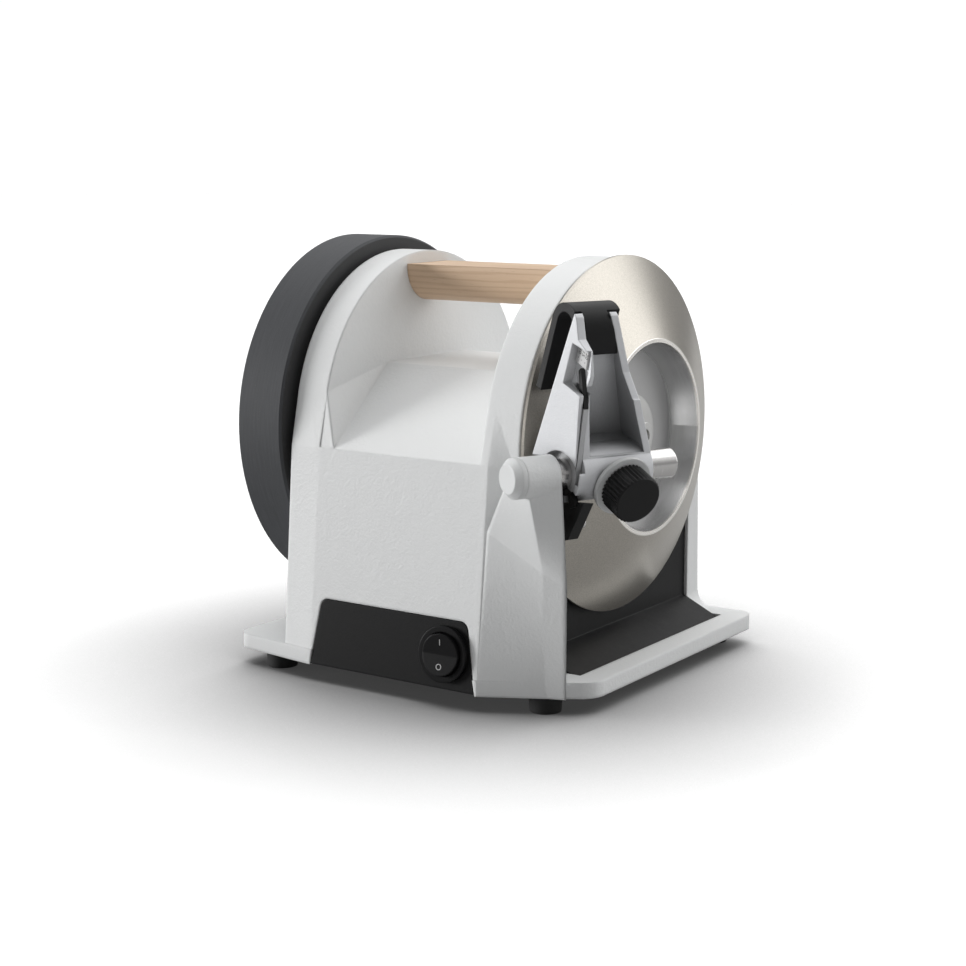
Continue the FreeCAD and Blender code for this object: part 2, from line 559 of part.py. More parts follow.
def panel_shape(gap, low, depth, raise_out=0.0):
    """The panel's outline, larger by a gap, extruded into the face."""
    top, height = PANEL_HALF + gap, size("panel_height") + gap
    foot = top + size("panel_flare") * (height - low) / height
    points = [(-foot, low), (foot, low), (top, height), (-top, height), (-foot, low)]
    wire = Part.makePolygon([Vector(x, y, raise_out) for x, y in points])
    shape = Part.Face(wire).extrude(Vector(0, 0, -depth - raise_out))
    tall = [edge for edge in shape.Edges if abs(edge.tangentAt(edge.FirstParameter).z) > 0.9
            and edge.CenterOfMass.y > height / 2]
    return shape.makeFillet(4.0, tall)


def panel_opening():
    item = doc.addObject("Part::Feature", "panel_opening")
    item.Shape = panel_shape(size("seat_gap"), -2.0, size("wall") * 2.5, 3.0)
    item.Placement = PANEL_PLACE
    return item


def front_panel():
    """Dark panel that fills the opening and holds the switch."""
    shape = panel_shape(0.0, 0.6, size("panel_thickness"))
    hole = Part.makeCylinder(size("switch_radius") + size("fit_gap"), size("switch_depth"), SWITCH_LOCAL,
                             Vector(0, 0, -1))
    panel = feature("front_panel", shape.cut(hole))
    panel.Placement = PANEL_PLACE


def rocker_switch():
    """Round snap-in switch: bezel and body in one, and a rocker on a pin across it."""
    bezel = Part.makeCylinder(size("bezel_radius"), size("bezel_thickness"))
    barrel = Part.makeCylinder(size("switch_radius"), size("switch_depth"), Vector(0, 0, -size("switch_depth")))
    well = Part.makeCylinder(size("rocker_radius") + size("seat_gap") * 2, size("bezel_thickness") + 6,
                             Vector(0, 0, -6))
    tabs = [Part.makeBox(0.8, 6, 8, Vector(-0.4, y, -size("switch_depth") - 8)) for y in (-7, 1)]
    pin_half = size("rocker_radius") + 2 * size("seat_gap") + size("rocker_pin_seat")

    def pin(gap):
        return Part.makeCylinder(size("rocker_pin") + gap, 2 * (pin_half + gap), Vector(-pin_half - gap, 0, 0),
                                 Vector(1, 0, 0))

    shape = bezel.fuse([barrel] + tabs).cut(well).cut(pin(size("run_gap")))
    body = feature("switch_body", shape)
    body.Placement = SWITCH_PLACE
    # The rocker is a disc with a shallow valley along its pin
    rise, radius = size("bezel_thickness") + size("rocker_rise"), size("rocker_radius")
    slope = math.tan(math.radians(7.0)) * radius
    section = Part.makePolygon([Vector(0, -radius, -2), Vector(0, radius, -2), Vector(0, radius, rise),
                                Vector(0, 0, rise - slope), Vector(0, -radius, rise), Vector(0, -radius, -2)])
    wedge = Part.Face(section).extrude(Vector(2 * radius, 0, 0))
    wedge.translate(Vector(-radius, 0, 0))
    disc = Part.makeCylinder(radius, rise + 2, Vector(0, 0, -2))
    rocker = feature("switch_rocker", disc.common(wedge).fuse(pin(0.0)))
    rocker.Placement = SWITCH_PLACE


def dust_tray():
    """Bent sheet: an upright wall behind the wheel and a floor that slopes to the base's edge."""
    body = new_body("tray")
    wall_x = f"{RIGHT_OUT} - tray_wall_depth"
    edge_x = f"{BASE_RIGHT} - tray_inset - seat_gap"
    low_z = f"{BASE_TOP} - base_thickness * 0.3 - tray_sheet"
    profile = [(wall_x, "axis_height - tray_wall_top - seat_gap"), (wall_x, "tray_floor_height - tray_sheet"),
               (edge_x, low_z), (edge_x, f"{low_z} + tray_sheet"),
               (f"{wall_x} + tray_sheet", "tray_floor_height"),
               (f"{wall_x} + tray_sheet", "axis_height - tray_wall_top - seat_gap")]
    sketch = polygon(body, "XZ_Plane", "spindle_y - tray_front + seat_gap", profile)
    pad(body, sketch, "tray_front + tray_back - 2 * seat_gap")
    return node(body, "dust_tray")


def handle():
    """Half-round wooden bar between the cheeks, flat on top."""
    bar = rod("bar", "handle_radius", "body_length - fit_gap * 2",
              (f"{LEFT_IN} + fit_gap", "spindle_y", "axis_height + handle_rise"), ALONG_X)
    top = block("bar_top", ("body_length", "handle_radius * 2", "handle_radius"),
                (LEFT_IN, "spindle_y - handle_radius", "axis_height + handle_rise + handle_crown"))
    left = screw_holes("bar_left", HANDLE_LEFT, TO_LEFT, size("handle_screw_depth"))
    right = screw_holes("bar_right", HANDLE_RIGHT, ALONG_X, size("handle_screw_depth"))
    return node(cut("handle_bar", bar, [top, left, right]), "handle")


def handle_screws():
    shapes = []
    for places, turn in ((HANDLE_LEFT, TO_LEFT), (HANDLE_RIGHT, ALONG_X)):
        shape = screw(size("handle_screw_depth"))
        shape.Placement = Placement(places[0], turn)
        shapes.append(shape)
    feature("handle_screws", Part.makeCompound(shapes))


def bottom_and_feet():
    """Bottom cover, its screws, the rubber feet and theirs."""
    gap = "seat_gap"
    front = f"{BASE_FRONT} + wall + panel_thickness"
    plate = block("cover_plate", (f"body_length - 2 * {gap}", f"{BASE_BACK} - 1 - wall - {gap} - ({front})",
                                  "cover_thickness"), (f"{LEFT_IN} + {gap}", front, "foot_height"))
    low = [p - Vector(0, 0, size("cover_thickness")) for p in COVER_CORNERS]
    node(cut("cover_cut", plate, [screw_holes("cover_plate_holes", low, DOWN)]), "bottom_cover")
    screws("cover_screws", low, DOWN)
    feet, sunk = [], BASE_LOW_Z / 2
    for place in FOOT_PLACES:
        foot = Part.makeCone(size("foot_radius"), size("foot_radius") * 0.92, BASE_LOW_Z, Vector(0, 0, BASE_LOW_Z),
                             Vector(0, 0, -1))
        bore = Part.makeCylinder(size("screw_head_radius") + 0.3, sunk)
        shank = Part.makeCylinder(size("screw_radius") + size("fit_gap"), BASE_LOW_Z)
        foot = foot.cut(bore.fuse(shank))
        foot.translate(place)
        feet.append(foot)
    feature("feet", Part.makeCompound(feet))
    screws("foot_screws", [p + Vector(0, 0, sunk) for p in FOOT_PLACES], DOWN)


def spindle_and_wheels():
    """Everything that turns on the main axis, with lengths from the wheel's rim plane."""
    nose = "wheel_web - wheel_rim - 0.6"
    collar = "-wheel_rim - collar_width"
    honing_in = f"({HONING_IN} - wheel_plane_x)"
    honing_out = f"({HONING_OUT} - wheel_plane_x)"
    shoulder = f"({honing_in} + flange_thickness)"
    web_out = f"({honing_out} + honing_recess_depth)"
    tail = f"({honing_out} + 1.5)"
    core = "screw_radius * 1.5"
    turned("spindle", [(tail, "0"), (tail, "nose_radius"), (shoulder, "nose_radius"),
                       (shoulder, "spindle_radius"), (collar, "spindle_radius"), (collar, "collar_radius"),
                       ("-wheel_rim", "collar_radius"), ("-wheel_rim", "nose_radius"), (nose, "nose_radius"),
                       (nose, f"{core} + fit_gap"), ("-screw_length * 2", f"{core} + fit_gap"),
                       ("-screw_length * 2", "0")])
    bore = "nose_radius + fit_gap"
    floor = "wheel_web - wheel_rim"
    turned("diamond_wheel", [("-wheel_rim", bore), (floor, bore), (floor, "recess_floor_radius"),
                             ("cone_depth", "wheel_recess_radius - wheel_land"),
                             ("cone_depth", "wheel_recess_radius"), ("0", "wheel_radius"),
                             ("-wheel_rim", "wheel_radius"), ("-wheel_rim", "wheel_radius - wheel_wall"),
                             ("cone_depth - wheel_wall", "wheel_recess_radius + wheel_land"),
                             ("-wheel_rim", "recess_floor_radius")])
    turned("wheel_washer", ring(floor, f"{floor} + washer_thickness", f"{core} + fit_gap", "washer_radius"))
    head = f"({floor} + washer_thickness)"
    turned("wheel_screw", [("-screw_length", "0"), ("-screw_length", core), (head, core), (head, f"{core} * 2"),
                           (f"{head} + 6", f"{core} * 2"), (f"{head} + 6", core), (f"{head} + 2.5", core),
                           (f"{head} + 2.5", "0")])
    turned("honing_flange", ring(honing_in, shoulder, bore, "flange_radius"))
    rim = "honing_radius - honing_chamfer"
    turned("honing_wheel", [(honing_in, bore), (honing_in, rim), (f"{honing_in} - honing_chamfer", "honing_radius"),
                            (f"{honing_out} + honing_chamfer", "honing_radius"), (honing_out, rim),
                            (honing_out, "honing_recess_radius"), (web_out, "honing_recess_radius"), (web_out, bore)])
    turned("honing_washer", ring(f"{web_out} - flange_thickness", web_out, bore, "flange_radius"))
    # Hexagon nut on the spindle's left end
    start = HONING_OUT_X + size("honing_recess_depth") - size("flange_thickness")
    across = size("nose_radius") * 1.9
    corners = [Vector(0, across * math.sin(math.radians(60 * i)), across * math.cos(math.radians(60 * i)))
               for i in range(7)]
    nut = Part.Face(Part.makePolygon(corners)).extrude(Vector(-5.0, 0, 0))
    nut = nut.cut(Part.makeCylinder(size("nose_radius") + size("fit_gap"), 20, Vector(-10, 0, 0), Vector(1, 0, 0)))
    item = feature("honing_nut", nut)
    item.Placement = Placement(Vector(start, SPINDLE_Y, AXIS_Z), Rotation())


def bearings():
    """Two ball bearings: outer rings in the cheeks, inner rings on the spindle, balls between."""
    width, outer, inner = size("bearing_width"), size("bearing_radius"), size("spindle_radius")
    race, gap, ball = size("race_thickness"), size("run_gap"), size("bearing_ball")
    inset = size("bearing_inset")
    starts = [LEFT_OUT_X + inset, RIGHT_OUT_X - inset - width]
    middle = (outer + inner) / 2
    axis = Vector(1, 0, 0)

    def tube(large, small):
        ring_shape = Part.makeCylinder(large, width, Vector(0, 0, 0), axis)
        ring_shape = ring_shape.cut(Part.makeCylinder(small, width, Vector(0, 0, 0), axis))
        groove = Part.makeTorus(middle, ball + gap, Vector(width / 2, 0, 0), axis)
        return ring_shape.cut(groove)

    count = int(math.pi * middle / ball * 0.8)
    spheres = [Part.makeSphere(ball, Vector(width / 2, middle * math.cos(2 * math.pi * i / count),
                                            middle * math.sin(2 * math.pi * i / count))) for i in range(count)]
    for label, shapes in (("bearing_outer_rings", [tube(outer, outer - race)]),
                          ("bearing_inner_rings", [tube(inner + size("fit_gap") + race, inner + size("fit_gap"))]),
                          ("bearing_balls", spheres)):
        placed = []
        for start in starts:
            for shape in shapes:
                copy = shape.copy()
                copy.translate(Vector(start, SPINDLE_Y, AXIS_Z))
                placed.append(copy)
        feature(label, Part.makeCompound(placed))


def gear(module, teeth, width, bore, tooth_up):
    """Spur gear along +X from the origin, with a tooth or a gap on its +Z side."""
    pressure, backlash = math.radians(25), 0.16 * module
    pitch, base = module * teeth / 2, module * teeth / 2 * math.cos(pressure)
    tip, root = pitch + 0.9 * module, pitch - 1.2 * module
    half_tooth = (math.pi * module / 2 - backlash) / 2 / pitch
    involute = math.tan(pressure) - pressure

    def flank(radius):
        if radius <= base:
            return half_tooth + involute
        angle = math.acos(base / radius)
        return half_tooth + involute - (math.tan(angle) - angle)

    def at(radius, angle):
        return Vector(0, radius * math.sin(angle), radius * math.cos(angle))

    start = max(base, root)
    radii = [start + (tip - start) * i / 5 for i in range(6)]
    edges = []
    for tooth in range(int(teeth)):
        centre = 2 * math.pi * (tooth if tooth_up else tooth + 0.5) / teeth
        following = centre + 2 * math.pi / teeth
        rising = Part.BSplineCurve()
        rising.interpolate([at(r, centre - flank(r)) for r in radii])
        falling = Part.BSplineCurve()
        falling.interpolate([at(r, centre + flank(r)) for r in reversed(radii)])
        edges += [rising.toShape(),
                  Part.LineSegment(at(tip, centre - flank(tip)), at(tip, centre + flank(tip))).toShape(),
                  falling.toShape()]
        ends = [at(start, centre + flank(start)), at(start, following - flank(start))]
        lows = [at(root, centre + flank(start)), at(root, following - flank(start))]
        if root < base - 1e-6:
            edges.append(Part.LineSegment(ends[0], lows[0]).toShape())
        edges.append(Part.LineSegment(lows[0], lows[1]).toShape())
        if root < base - 1e-6:
            edges.append(Part.LineSegment(lows[1], ends[1]).toShape())
    face = Part.Face(Part.Wire(edges))
    solid = face.extrude(Vector(width, 0, 0))
    return solid.cut(Part.makeCylinder(bore, width, Vector(0, 0, 0), Vector(1, 0, 0)))


def gears():
    """Two spur stages from the motor up to the spindle."""
    width, fast = size("gear_width"), size("pinion_width")
    slow_x = RIGHT_IN_X - size("wall_space") - width
    fast_x = slow_x - size("stage_space") - width
    wheel = feature("spindle_gear", gear(size("gear_module"), size("spindle_teeth"), width,
                                         size("spindle_radius") + size("fit_gap"), False))
    wheel.Placement = Placement(Vector(slow_x, SPINDLE_Y, AXIS_Z), Rotation(Vector(1, 0, 0), 180))
    # The layshaft gear turns on a fixed pin; a sleeve joins its two rows of teeth
    bore = size("idler_radius") + size("run_gap")
    slow = gear(size("gear_module"), size("layshaft_teeth"), width, bore, True)
    slow.translate(Vector(slow_x, 0, 0))
    large = gear(size("fast_module"), size("reduction_teeth"), width, bore, False)
    large.rotate(Vector(0, 0, 0), Vector(1, 0, 0), 180)
    large.translate(Vector(fast_x, 0, 0))
    spacing = Part.makeCylinder(bore + 2.0, slow_x - fast_x - width, Vector(fast_x + width, 0, 0), Vector(1, 0, 0))
    spacing = spacing.cut(Part.makeCylinder(bore, 50, Vector(fast_x, 0, 0), Vector(1, 0, 0)))
    layshaft = feature("layshaft_gear", slow.fuse([spacing, large]).removeSplitter())
    layshaft.Placement = Placement(Vector(0, SPINDLE_Y, LAYSHAFT_Z), Rotation())
    pin = rod("idler_rod", "idler_radius", RIGHT_IN_X + size("idler_seat") - PLATE_LEFT_X,
              (PLATE_LEFT_X, "spindle_y", LAYSHAFT_Z), ALONG_X)
    node(pin, "idler_pin")
    pinion = feature("motor_pinion", gear(size("fast_module"), size("pinion_teeth"), fast,
                                          size("motor_shaft_radius") + size("fit_gap"), True))
    pinion.Placement = Placement(Vector(fast_x - (fast - width) / 2, SPINDLE_Y, MOTOR_Z), Rotation())
    plate = block("plate", ("plate_thickness", "plate_half * 2", "axis_height + plate_rise - plate_low"),
                  (PLATE_LEFT_X, "spindle_y - plate_half", "plate_low"))
    passages = (("plate_spindle", "spindle_radius + 1.5", AXIS_Z), ("plate_idler", "idler_radius + fit_gap", LAYSHAFT_Z),
                ("plate_motor", "motor_shaft_radius + 1.5", MOTOR_Z))
    through = [rod(name, radius, "plate_thickness * 5", (PLATE_LEFT_X - 5, "spindle_y", height), ALONG_X)
               for name, radius, height in passages]
    heads = [p - Vector(size("plate_thickness"), 0, 0) for p in STANDOFFS]
    through.append(screw_holes("plate_screw_holes", heads, TO_LEFT))
    through.append(screw_holes("plate_motor_holes", MOTOR_SCREWS, ALONG_X))
    node(cut("plate_cut", plate, through), "gear_plate")
    screws("gear_plate_screws", heads, TO_LEFT)


def motor():
    """Small induction motor flanged to the gear plate, with lengths from the plate's left face."""
    centre = (PLATE_LEFT_X, "spindle_y", MOTOR_Z)
    inside = "motor_radius - can_wall"
    bore = "bush_radius + fit_gap"
    can = ring("-motor_length + cap_thickness", "-cap_thickness", f"{inside} + fit_gap", "motor_radius")
    turned("motor_can", can, centre)
    drive_cap = turned("drive_cap", ring("-cap_thickness", "0", bore, "motor_radius"), centre)
    reach = size("motor_screw_length")
    nodes.remove(drive_cap)
    node(cut("cap_cut", drive_cap, [screw_holes("cap_holes", MOTOR_SCREWS, ALONG_X, reach)]), "motor_cap_drive")
    screws("motor_screws", MOTOR_SCREWS, ALONG_X, length=reach)
    turned("motor_cap_rear", ring("-motor_length", "-motor_length + cap_thickness", bore, "motor_radius"), centre)
    middle = "(-motor_length / 2)"
    start, end = f"({middle} - stack_length / 2)", f"({middle} + stack_length / 2)"
    turned("stator_core", ring(start, end, "stator_bore", inside), centre)
    coils = []
    inner, outer = size("stator_bore") + 1.5, size("coil_radius")
    reach = size("coil_length")
    for low in (-(size("motor_length") + size("stack_length")) / 2 - reach,
                -(size("motor_length") - size("stack_length")) / 2):
        coil = Part.makeCylinder(outer, reach, Vector(low, 0, 0), Vector(1, 0, 0))
        coils.append(coil.cut(Part.makeCylinder(inner, reach, Vector(low, 0, 0), Vector(1, 0, 0))))
    windings = feature("stator_windings", Part.makeCompound(coils))
    windings.Placement = Placement(Vector(PLATE_LEFT_X, SPINDLE_Y, MOTOR_Z), Rotation())
    turned("rotor_core", ring(start, end, "motor_shaft_radius + fit_gap", "stator_bore - air_gap"), centre)
    drive_end = RIGHT_IN_X - size("wall_space") - size("gear_width") - size("stage_space") - PLATE_LEFT_X + 0.5
    turned("motor_shaft", [("-motor_length - shaft_tail", "0"), ("-motor_length - shaft_tail", "motor_shaft_radius"),
                           (drive_end, "motor_shaft_radius"), (drive_end, "0")], centre)
    bushes = []
    for low in (-size("motor_length"), -size("cap_thickness")):
        bush = Part.makeCylinder(size("bush_radius"), size("cap_thickness"), Vector(low, 0, 0), Vector(1, 0, 0))
        bushes.append(bush.cut(Part.makeCylinder(size("motor_shaft_radius") + size("run_gap"), size("cap_thickness"),
                                                 Vector(low, 0, 0), Vector(1, 0, 0))))
    pair = feature("motor_bushes", Part.makeCompound(bushes))
    pair.Placement = Placement(Vector(PLATE_LEFT_X, SPINDLE_Y, MOTOR_Z), Rotation())


def electrics():
    """Capacitor and terminal block on the bottom cover, and the gland in the back wall."""
    can = rod("capacitor_can", "capacitor_radius", "capacitor_length",
              (f"{LEFT_IN} + cover_screw_inset * 2", "spindle_y + knee_reach * 0.66",
               f"{COVER_TOP} + capacitor_radius + fit_gap"), ALONG_X)
    node(can, "capacitor")
    terminal = block("terminals", ("terminal_length", "terminal_length / 2", "terminal_length / 2"),
                     (f"{LEFT_IN} + cover_screw_inset * 2", "spindle_y - knee_reach * 0.85", COVER_TOP))
    node(terminal, "terminal_block")
    collar = size("gland_radius") + 2.5
    shape = Part.makeCylinder(size("gland_radius"), size("gland_length"), Vector(0, -size("gland_length") + 2, 0),
                              Vector(0, 1, 0))
    shape = shape.fuse(Part.makeCylinder(collar, 3.0, Vector(0, 0, 0), Vector(0, 1, 0)))
    shape = shape.cut(Part.makeCylinder(size("gland_bore"), 60, Vector(0, -30, 0), Vector(0, 1, 0)))
    gland = feature("cable_gland", shape)
    gland.Placement = GLAND_PLACE


def guide_axle():
    """Axle in the post's boss with its cap, and the stop pin below it."""
    node(rod("axle_rod", "axle_radius", "boss_front + axle_end", AXLE_START, ALONG_AXLE), "guide_axle")
    radius, length = size("boss_radius"), size("cap_length")
    rim = Part.makeCylinder(radius, length * 0.45)
    dome = Part.makeCone(radius, radius * 0.72, length * 0.55, Vector(0, 0, length * 0.45))
    cap = feature("axle_cap", rim.fuse(dome).removeSplitter())
    cap.Placement = Placement(AXLE_START, PLAN_TURN.multiply(Rotation(Vector(1, 0, 0), 90)))
    node(rod("stop_rod", "stop_radius", "stop_seat + stop_end - boss_back", STOP_START, ALONG_AXLE), "stop_pin")


# Guide pieces use the leaning frame: x out of the blade's plane, y along the axle, z up the blade
SLEEVE = "(axle_radius + run_gap + sleeve_wall)"
BARREL = f"({SLEEVE} + run_gap + barrel_wall)"


def angle_lever():
    """Sleeve on the axle with a pointer above and a foot that slides on the stop pin."""
    body = new_body("lever")
    pad(body, circle(body, "XZ_Plane", "guide_front", ("0", "0"), SLEEVE), "guide_back - guide_front")
    arm = [("3", "0"), ("8", "0"), ("2.2", "pointer_top - 12.6"), ("-4.9", "pointer_top - 1.1"),
           ("-5.8", "pointer_top"), ("-6.6", "pointer_top - 1.4"), ("-0.6", "pointer_top - 13.1")]
    pad(body, polygon(body, "XZ_Plane", "lever_front", arm), "lever_thickness")
    stem = [("5", "-6"), ("7", "-4"), ("11.5", "-8"), ("8.5", "-10.8")]
    pad(body, polygon(body, "XZ_Plane", "lever_front", stem), "lever_thickness")
    foot = [("-2", f"-{BARREL} - 3.1"), ("15.1", f"-{BARREL} + 6.2"), ("11.2", "3.7 - foot_drop"),
            ("6.3", "-foot_drop"), ("1", "-foot_drop")]
    pad(body, polygon(body, "XZ_Plane", "lever_front + lever_gap * 3", foot), "foot_thickness")
    pocket(body, circle(body, "XZ_Plane", "guide_front", ("0", "0"), "axle_radius + run_gap"),
           "guide_back - guide_front")
    pocket(body, circle(body, "XZ_Plane", "guide_front", ("stop_out", "-stop_drop"), "stop_radius + run_gap"),
           "foot_thickness * 2")
    slot_y, slot_z = "(cam_radius + cam_throw + cam_gap)", "(cam_radius + cam_gap)"
    window = [(f"knob_station - {slot_y}", f"-{slot_z}"), (f"knob_station + {slot_y}", f"-{slot_z}"),
              (f"knob_station + {slot_y}", slot_z), (f"knob_station - {slot_y}", slot_z)]
    pocket(body, polygon(body, "YZ_Plane", "axle_radius", window), "sleeve_wall + 2")
    body.Placement = LEANING
    return node(body, "angle_lever")


CHEEK_FACE = "(guide_front - cheek_slant)"


def room_line(low, high, level):
    """Place along the axle, at a level, of a wall that runs from the pocket's floor to the guide's top."""
    return f"({low} + ({high} - ({low})) * ({level} - pocket_floor) / (guide_top - pocket_floor))"


def front_wall(level):
    return room_line("guide_front + guide_cheek", "cheek_top", level)


def rear_wall(level):
    return room_line("guide_back - rear_cheek", "rear_top - rear_cheek", level)


def guide_body():
    """Cast guide: barrel on the lever's sleeve, two cheeks, the web the blade rests on and the knob's boss."""
    body = new_body("guide")
    above = "guide_top + 4"
    side = [("-blade_face", "0.5"), ("face_taper - blade_face", "guide_top"),
            ("face_taper - blade_face + 1.3", "guide_top - 1"), ("-6.4", "guide_top - 8.5"),
            ("-1", "guide_top - 11"), ("1.8", "guide_top - 20"), ("0.6", "guide_top - 29"), ("2.4", "25"),
            ("6.1", "8.8"), ("8", "-3"), ("-8", "-3"), ("-9.5", "3")]
    pad(body, polygon(body, "XZ_Plane", CHEEK_FACE, side), f"guide_back - {CHEEK_FACE}")
    # The front face turns away from the boss towards the axle's far side
    ahead = f"{CHEEK_FACE} - 1"
    slant = [("-blade_face - 1", ahead), ("-blade_face", CHEEK_FACE), ("8", "guide_front"), ("20", "guide_front"),
             ("20", ahead)]
    pocket(body, polygon(body, "XY_Plane", "-blade_face", slant), "guide_top + blade_face * 2")
    # Pocket between the cheeks, open at the top where the clip sits over the web
    room = [(front_wall("pocket_floor"), "pocket_floor"), (rear_wall("pocket_floor"), "pocket_floor"),
            (rear_wall(above), above), (front_wall(above), above)]
    pocket(body, polygon(body, "YZ_Plane", "web_thickness - blade_face", room), "blade_face * 2")
    seat = [(front_wall("saddle"), "saddle"), (rear_wall("saddle"), "saddle"), (rear_wall(above), above),
            (front_wall(above), above)]
    pocket(body, polygon(body, "YZ_Plane", "-blade_face - 1", seat), "blade_face * 2")
    beyond = [("guide_back", "pocket_floor"), ("rear_top", "guide_top"), ("rear_top", above),
              ("guide_back + 20", above), ("guide_back + 20", "pocket_floor")]
    pocket(body, polygon(body, "YZ_Plane", "-blade_face - 1", beyond), "blade_face * 3")
    narrow = [("face_taper - blade_face + 1.3", "guide_top - 1"), ("-5", "guide_top - 23"),
              ("0.5", "guide_top - 32"), ("12", "guide_top - 32"), ("12", above),
              ("face_taper - blade_face + 1.3", above)]
    pocket(body, polygon(body, "XZ_Plane", "(guide_front + guide_cheek + rear_top) / 2", narrow), "guide_back")
    length = "guide_back - guide_front"
    pad(body, circle(body, "XZ_Plane", "guide_front", ("0", "0"), BARREL), length)
    pad(body, circle(body, "YZ_Plane", "0", ("knob_station", "0"), "knob_shaft_radius * 2"), "knob_boss")
    pocket(body, circle(body, "XZ_Plane", "guide_front", ("0", "0"), f"{SLEEVE} + run_gap"), length)
    pocket(body, circle(body, "XZ_Plane", CHEEK_FACE, ("0", "0"), "boss_radius + counterbore"), "cheek_slant")
    pocket(body, circle(body, "YZ_Plane", "0", ("knob_station", "0"), "knob_shaft_radius + run_gap"), "knob_boss")
    # Slit for the lever, open below the barrel and at the cheek's edge, and the scale's window
    arm_slit = [("-11", "pointer_top + 1.4"), ("-0.4", "pointer_top + 1.4"), ("0.2", "pointer_top - 2.6"),
                ("5.8", "pointer_top - 12.6"), ("10.5", "0"), ("0", "0"), ("-5.6", "pointer_top - 13.6"),
                ("-11", "pointer_top - 2.5")]
    stem_slit = [("3", "-5.6"), ("7.2", "-2.5"), ("14", "-5"), ("6.5", "-13")]
    for slit in (arm_slit, stem_slit):
        pocket(body, polygon(body, "XZ_Plane", "lever_front - lever_gap", slit), "lever_thickness + 2 * lever_gap")
    window = [("-8.6", "pointer_top - 7.4"), ("0.3", "pointer_top - 8.4"), ("8", "pointer_top - 11"),
              ("8", "pointer_top + 9.4"), ("-8.6", "pointer_top + 9.4")]
    pocket(body, polygon(body, "XZ_Plane", CHEEK_FACE, window), f"lever_front - lever_gap - {CHEEK_FACE}")
    body.Placement = LEANING
    return node(body, "guide_body")


def scale_plate():
    """Small plate above the pointer, for the angle marks."""
    body = new_body("scale")
    outline = [("-8.6", "pointer_top + 1.9"), ("-0.8", "pointer_top + 1.9"), ("-1.6", "pointer_top + 8"),
               ("-2.6", "pointer_top + 9.4"), ("-8.6", "pointer_top + 9.4")]
    pad(body, polygon(body, "XZ_Plane", "lever_front - lever_gap - scale_thickness", outline), "scale_thickness")
    body.Placement = LEANING
    return node(body, "scale_plate")


def blade_clip():
    """Black arch over the guide's web: its long leg and the guide's face hold the blade between them."""
    body = new_body("clip")
    inner = "(blade_slot / 2)"
    outer = f"({inner} + clip_leg)"
    middle = f"(web_thickness - blade_face + fit_gap - {inner})"
    length = "clip_back - clip_front"
    pad(body, circle(body, "XZ_Plane", "clip_front", (middle, "clip_centre"), outer), length)
    for side, low in (("-", "clip_low"), ("+", "short_leg_low")):
        leg = [(f"{middle} {side} {outer}", low), (middle, low), (middle, "clip_centre"),
               (f"{middle} {side} {outer}", "clip_centre")]
        pad(body, polygon(body, "XZ_Plane", "clip_front", leg), length)
    slot = [(f"{middle} - {inner}", "clip_low - 1"), (f"{middle} + {inner}", "clip_low - 1"),
            (f"{middle} + {inner}", "clip_centre"), (f"{middle} - {inner}", "clip_centre")]
    pocket(body, polygon(body, "XZ_Plane", "clip_front", slot), length)
    pocket(body, circle(body, "XZ_Plane", "clip_front", (middle, "clip_centre"), inner), length)
    # The short leg stands between the guide's cheeks
    low, high = "short_leg_low - 1", f"clip_centre + {outer} + 1"
    notch_x = "face_taper - blade_face - notch_gap * 5"
    front = [(f"{front_wall(low)} + notch_gap", low), (f"{front_wall(high)} + notch_gap", high),
             ("clip_front - 1", high), ("clip_front - 1", low)]
    rear = [(f"{rear_wall(low)} - notch_gap", low), ("clip_back + 1", low), ("clip_back + 1", high),
            (f"{rear_wall(high)} - notch_gap", high)]
    for notch in (front, rear):
        pocket(body, polygon(body, "YZ_Plane", notch_x, notch), "blade_face * 2")
    body.Placement = LEANING
    return node(body, "blade_clip")


def angle_knob():
    """Ribbed knob on a shaft whose off-centre pin moves the guide about the lever's sleeve."""
    centre = Placement(LEANING.multVec(Vector(0, size("knob_station"), 0)), LEAN_TURN)
    inner = size("knob_boss")
    out = Vector(1, 0, 0)
    plate = Part.makeCylinder(size("collar_plate_radius"), size("collar_plate"), out * inner, out)
    bore = Part.makeCylinder(size("knob_shaft_radius") + size("knob_gap"), 30, Vector(0, 0, 0), out)
    collar = feature("knob_collar", plate.cut(bore))
    start = inner + size("collar_plate") + size("knob_gap")
    points = []
    steps = int(size("knob_ribs")) * 2
    for i in range(steps + 1):
        radius = size("knob_radius") - size("rib_depth") * (i % 2)
        angle = 2 * math.pi * i / steps
        points.append(Vector(start, radius * math.cos(angle), radius * math.sin(angle)))
    ribbed = Part.Face(Part.makePolygon(points)).extrude(Vector(size("knob_length"), 0, 0))
    taper = Part.makeCone(size("knob_radius") + size("knob_length"), size("knob_radius") - 0.8,
                          size("knob_length") + 1, Vector(start - 1, 0, 0), Vector(1, 0, 0))
    shaft_hole = Part.makeCylinder(size("knob_shaft_radius") + size("fit_gap"), size("knob_length") * 0.7,
                                   Vector(start, 0, 0), Vector(1, 0, 0))
    knob = feature("angle_knob", ribbed.common(taper).cut(shaft_hole))
    sleeve = size("axle_radius") + size("run_gap") + size("sleeve_wall")
    face = sleeve + size("run_gap") + 0.8
    reach = start + size("knob_length") * 0.7 - size("fit_gap") - face
    shaft = Part.makeCylinder(size("knob_shaft_radius"), reach, out * face, out)
    cam_start = size("axle_radius") + 0.8
    cam = Part.makeCylinder(size("cam_radius"), face - cam_start + 0.5, Vector(cam_start, size("cam_throw"), 0),
                            Vector(1, 0, 0))
    cam_shaft = feature("knob_shaft", shaft.fuse(cam))
    for item in (collar, knob, cam_shaft):
        item.Placement = centre


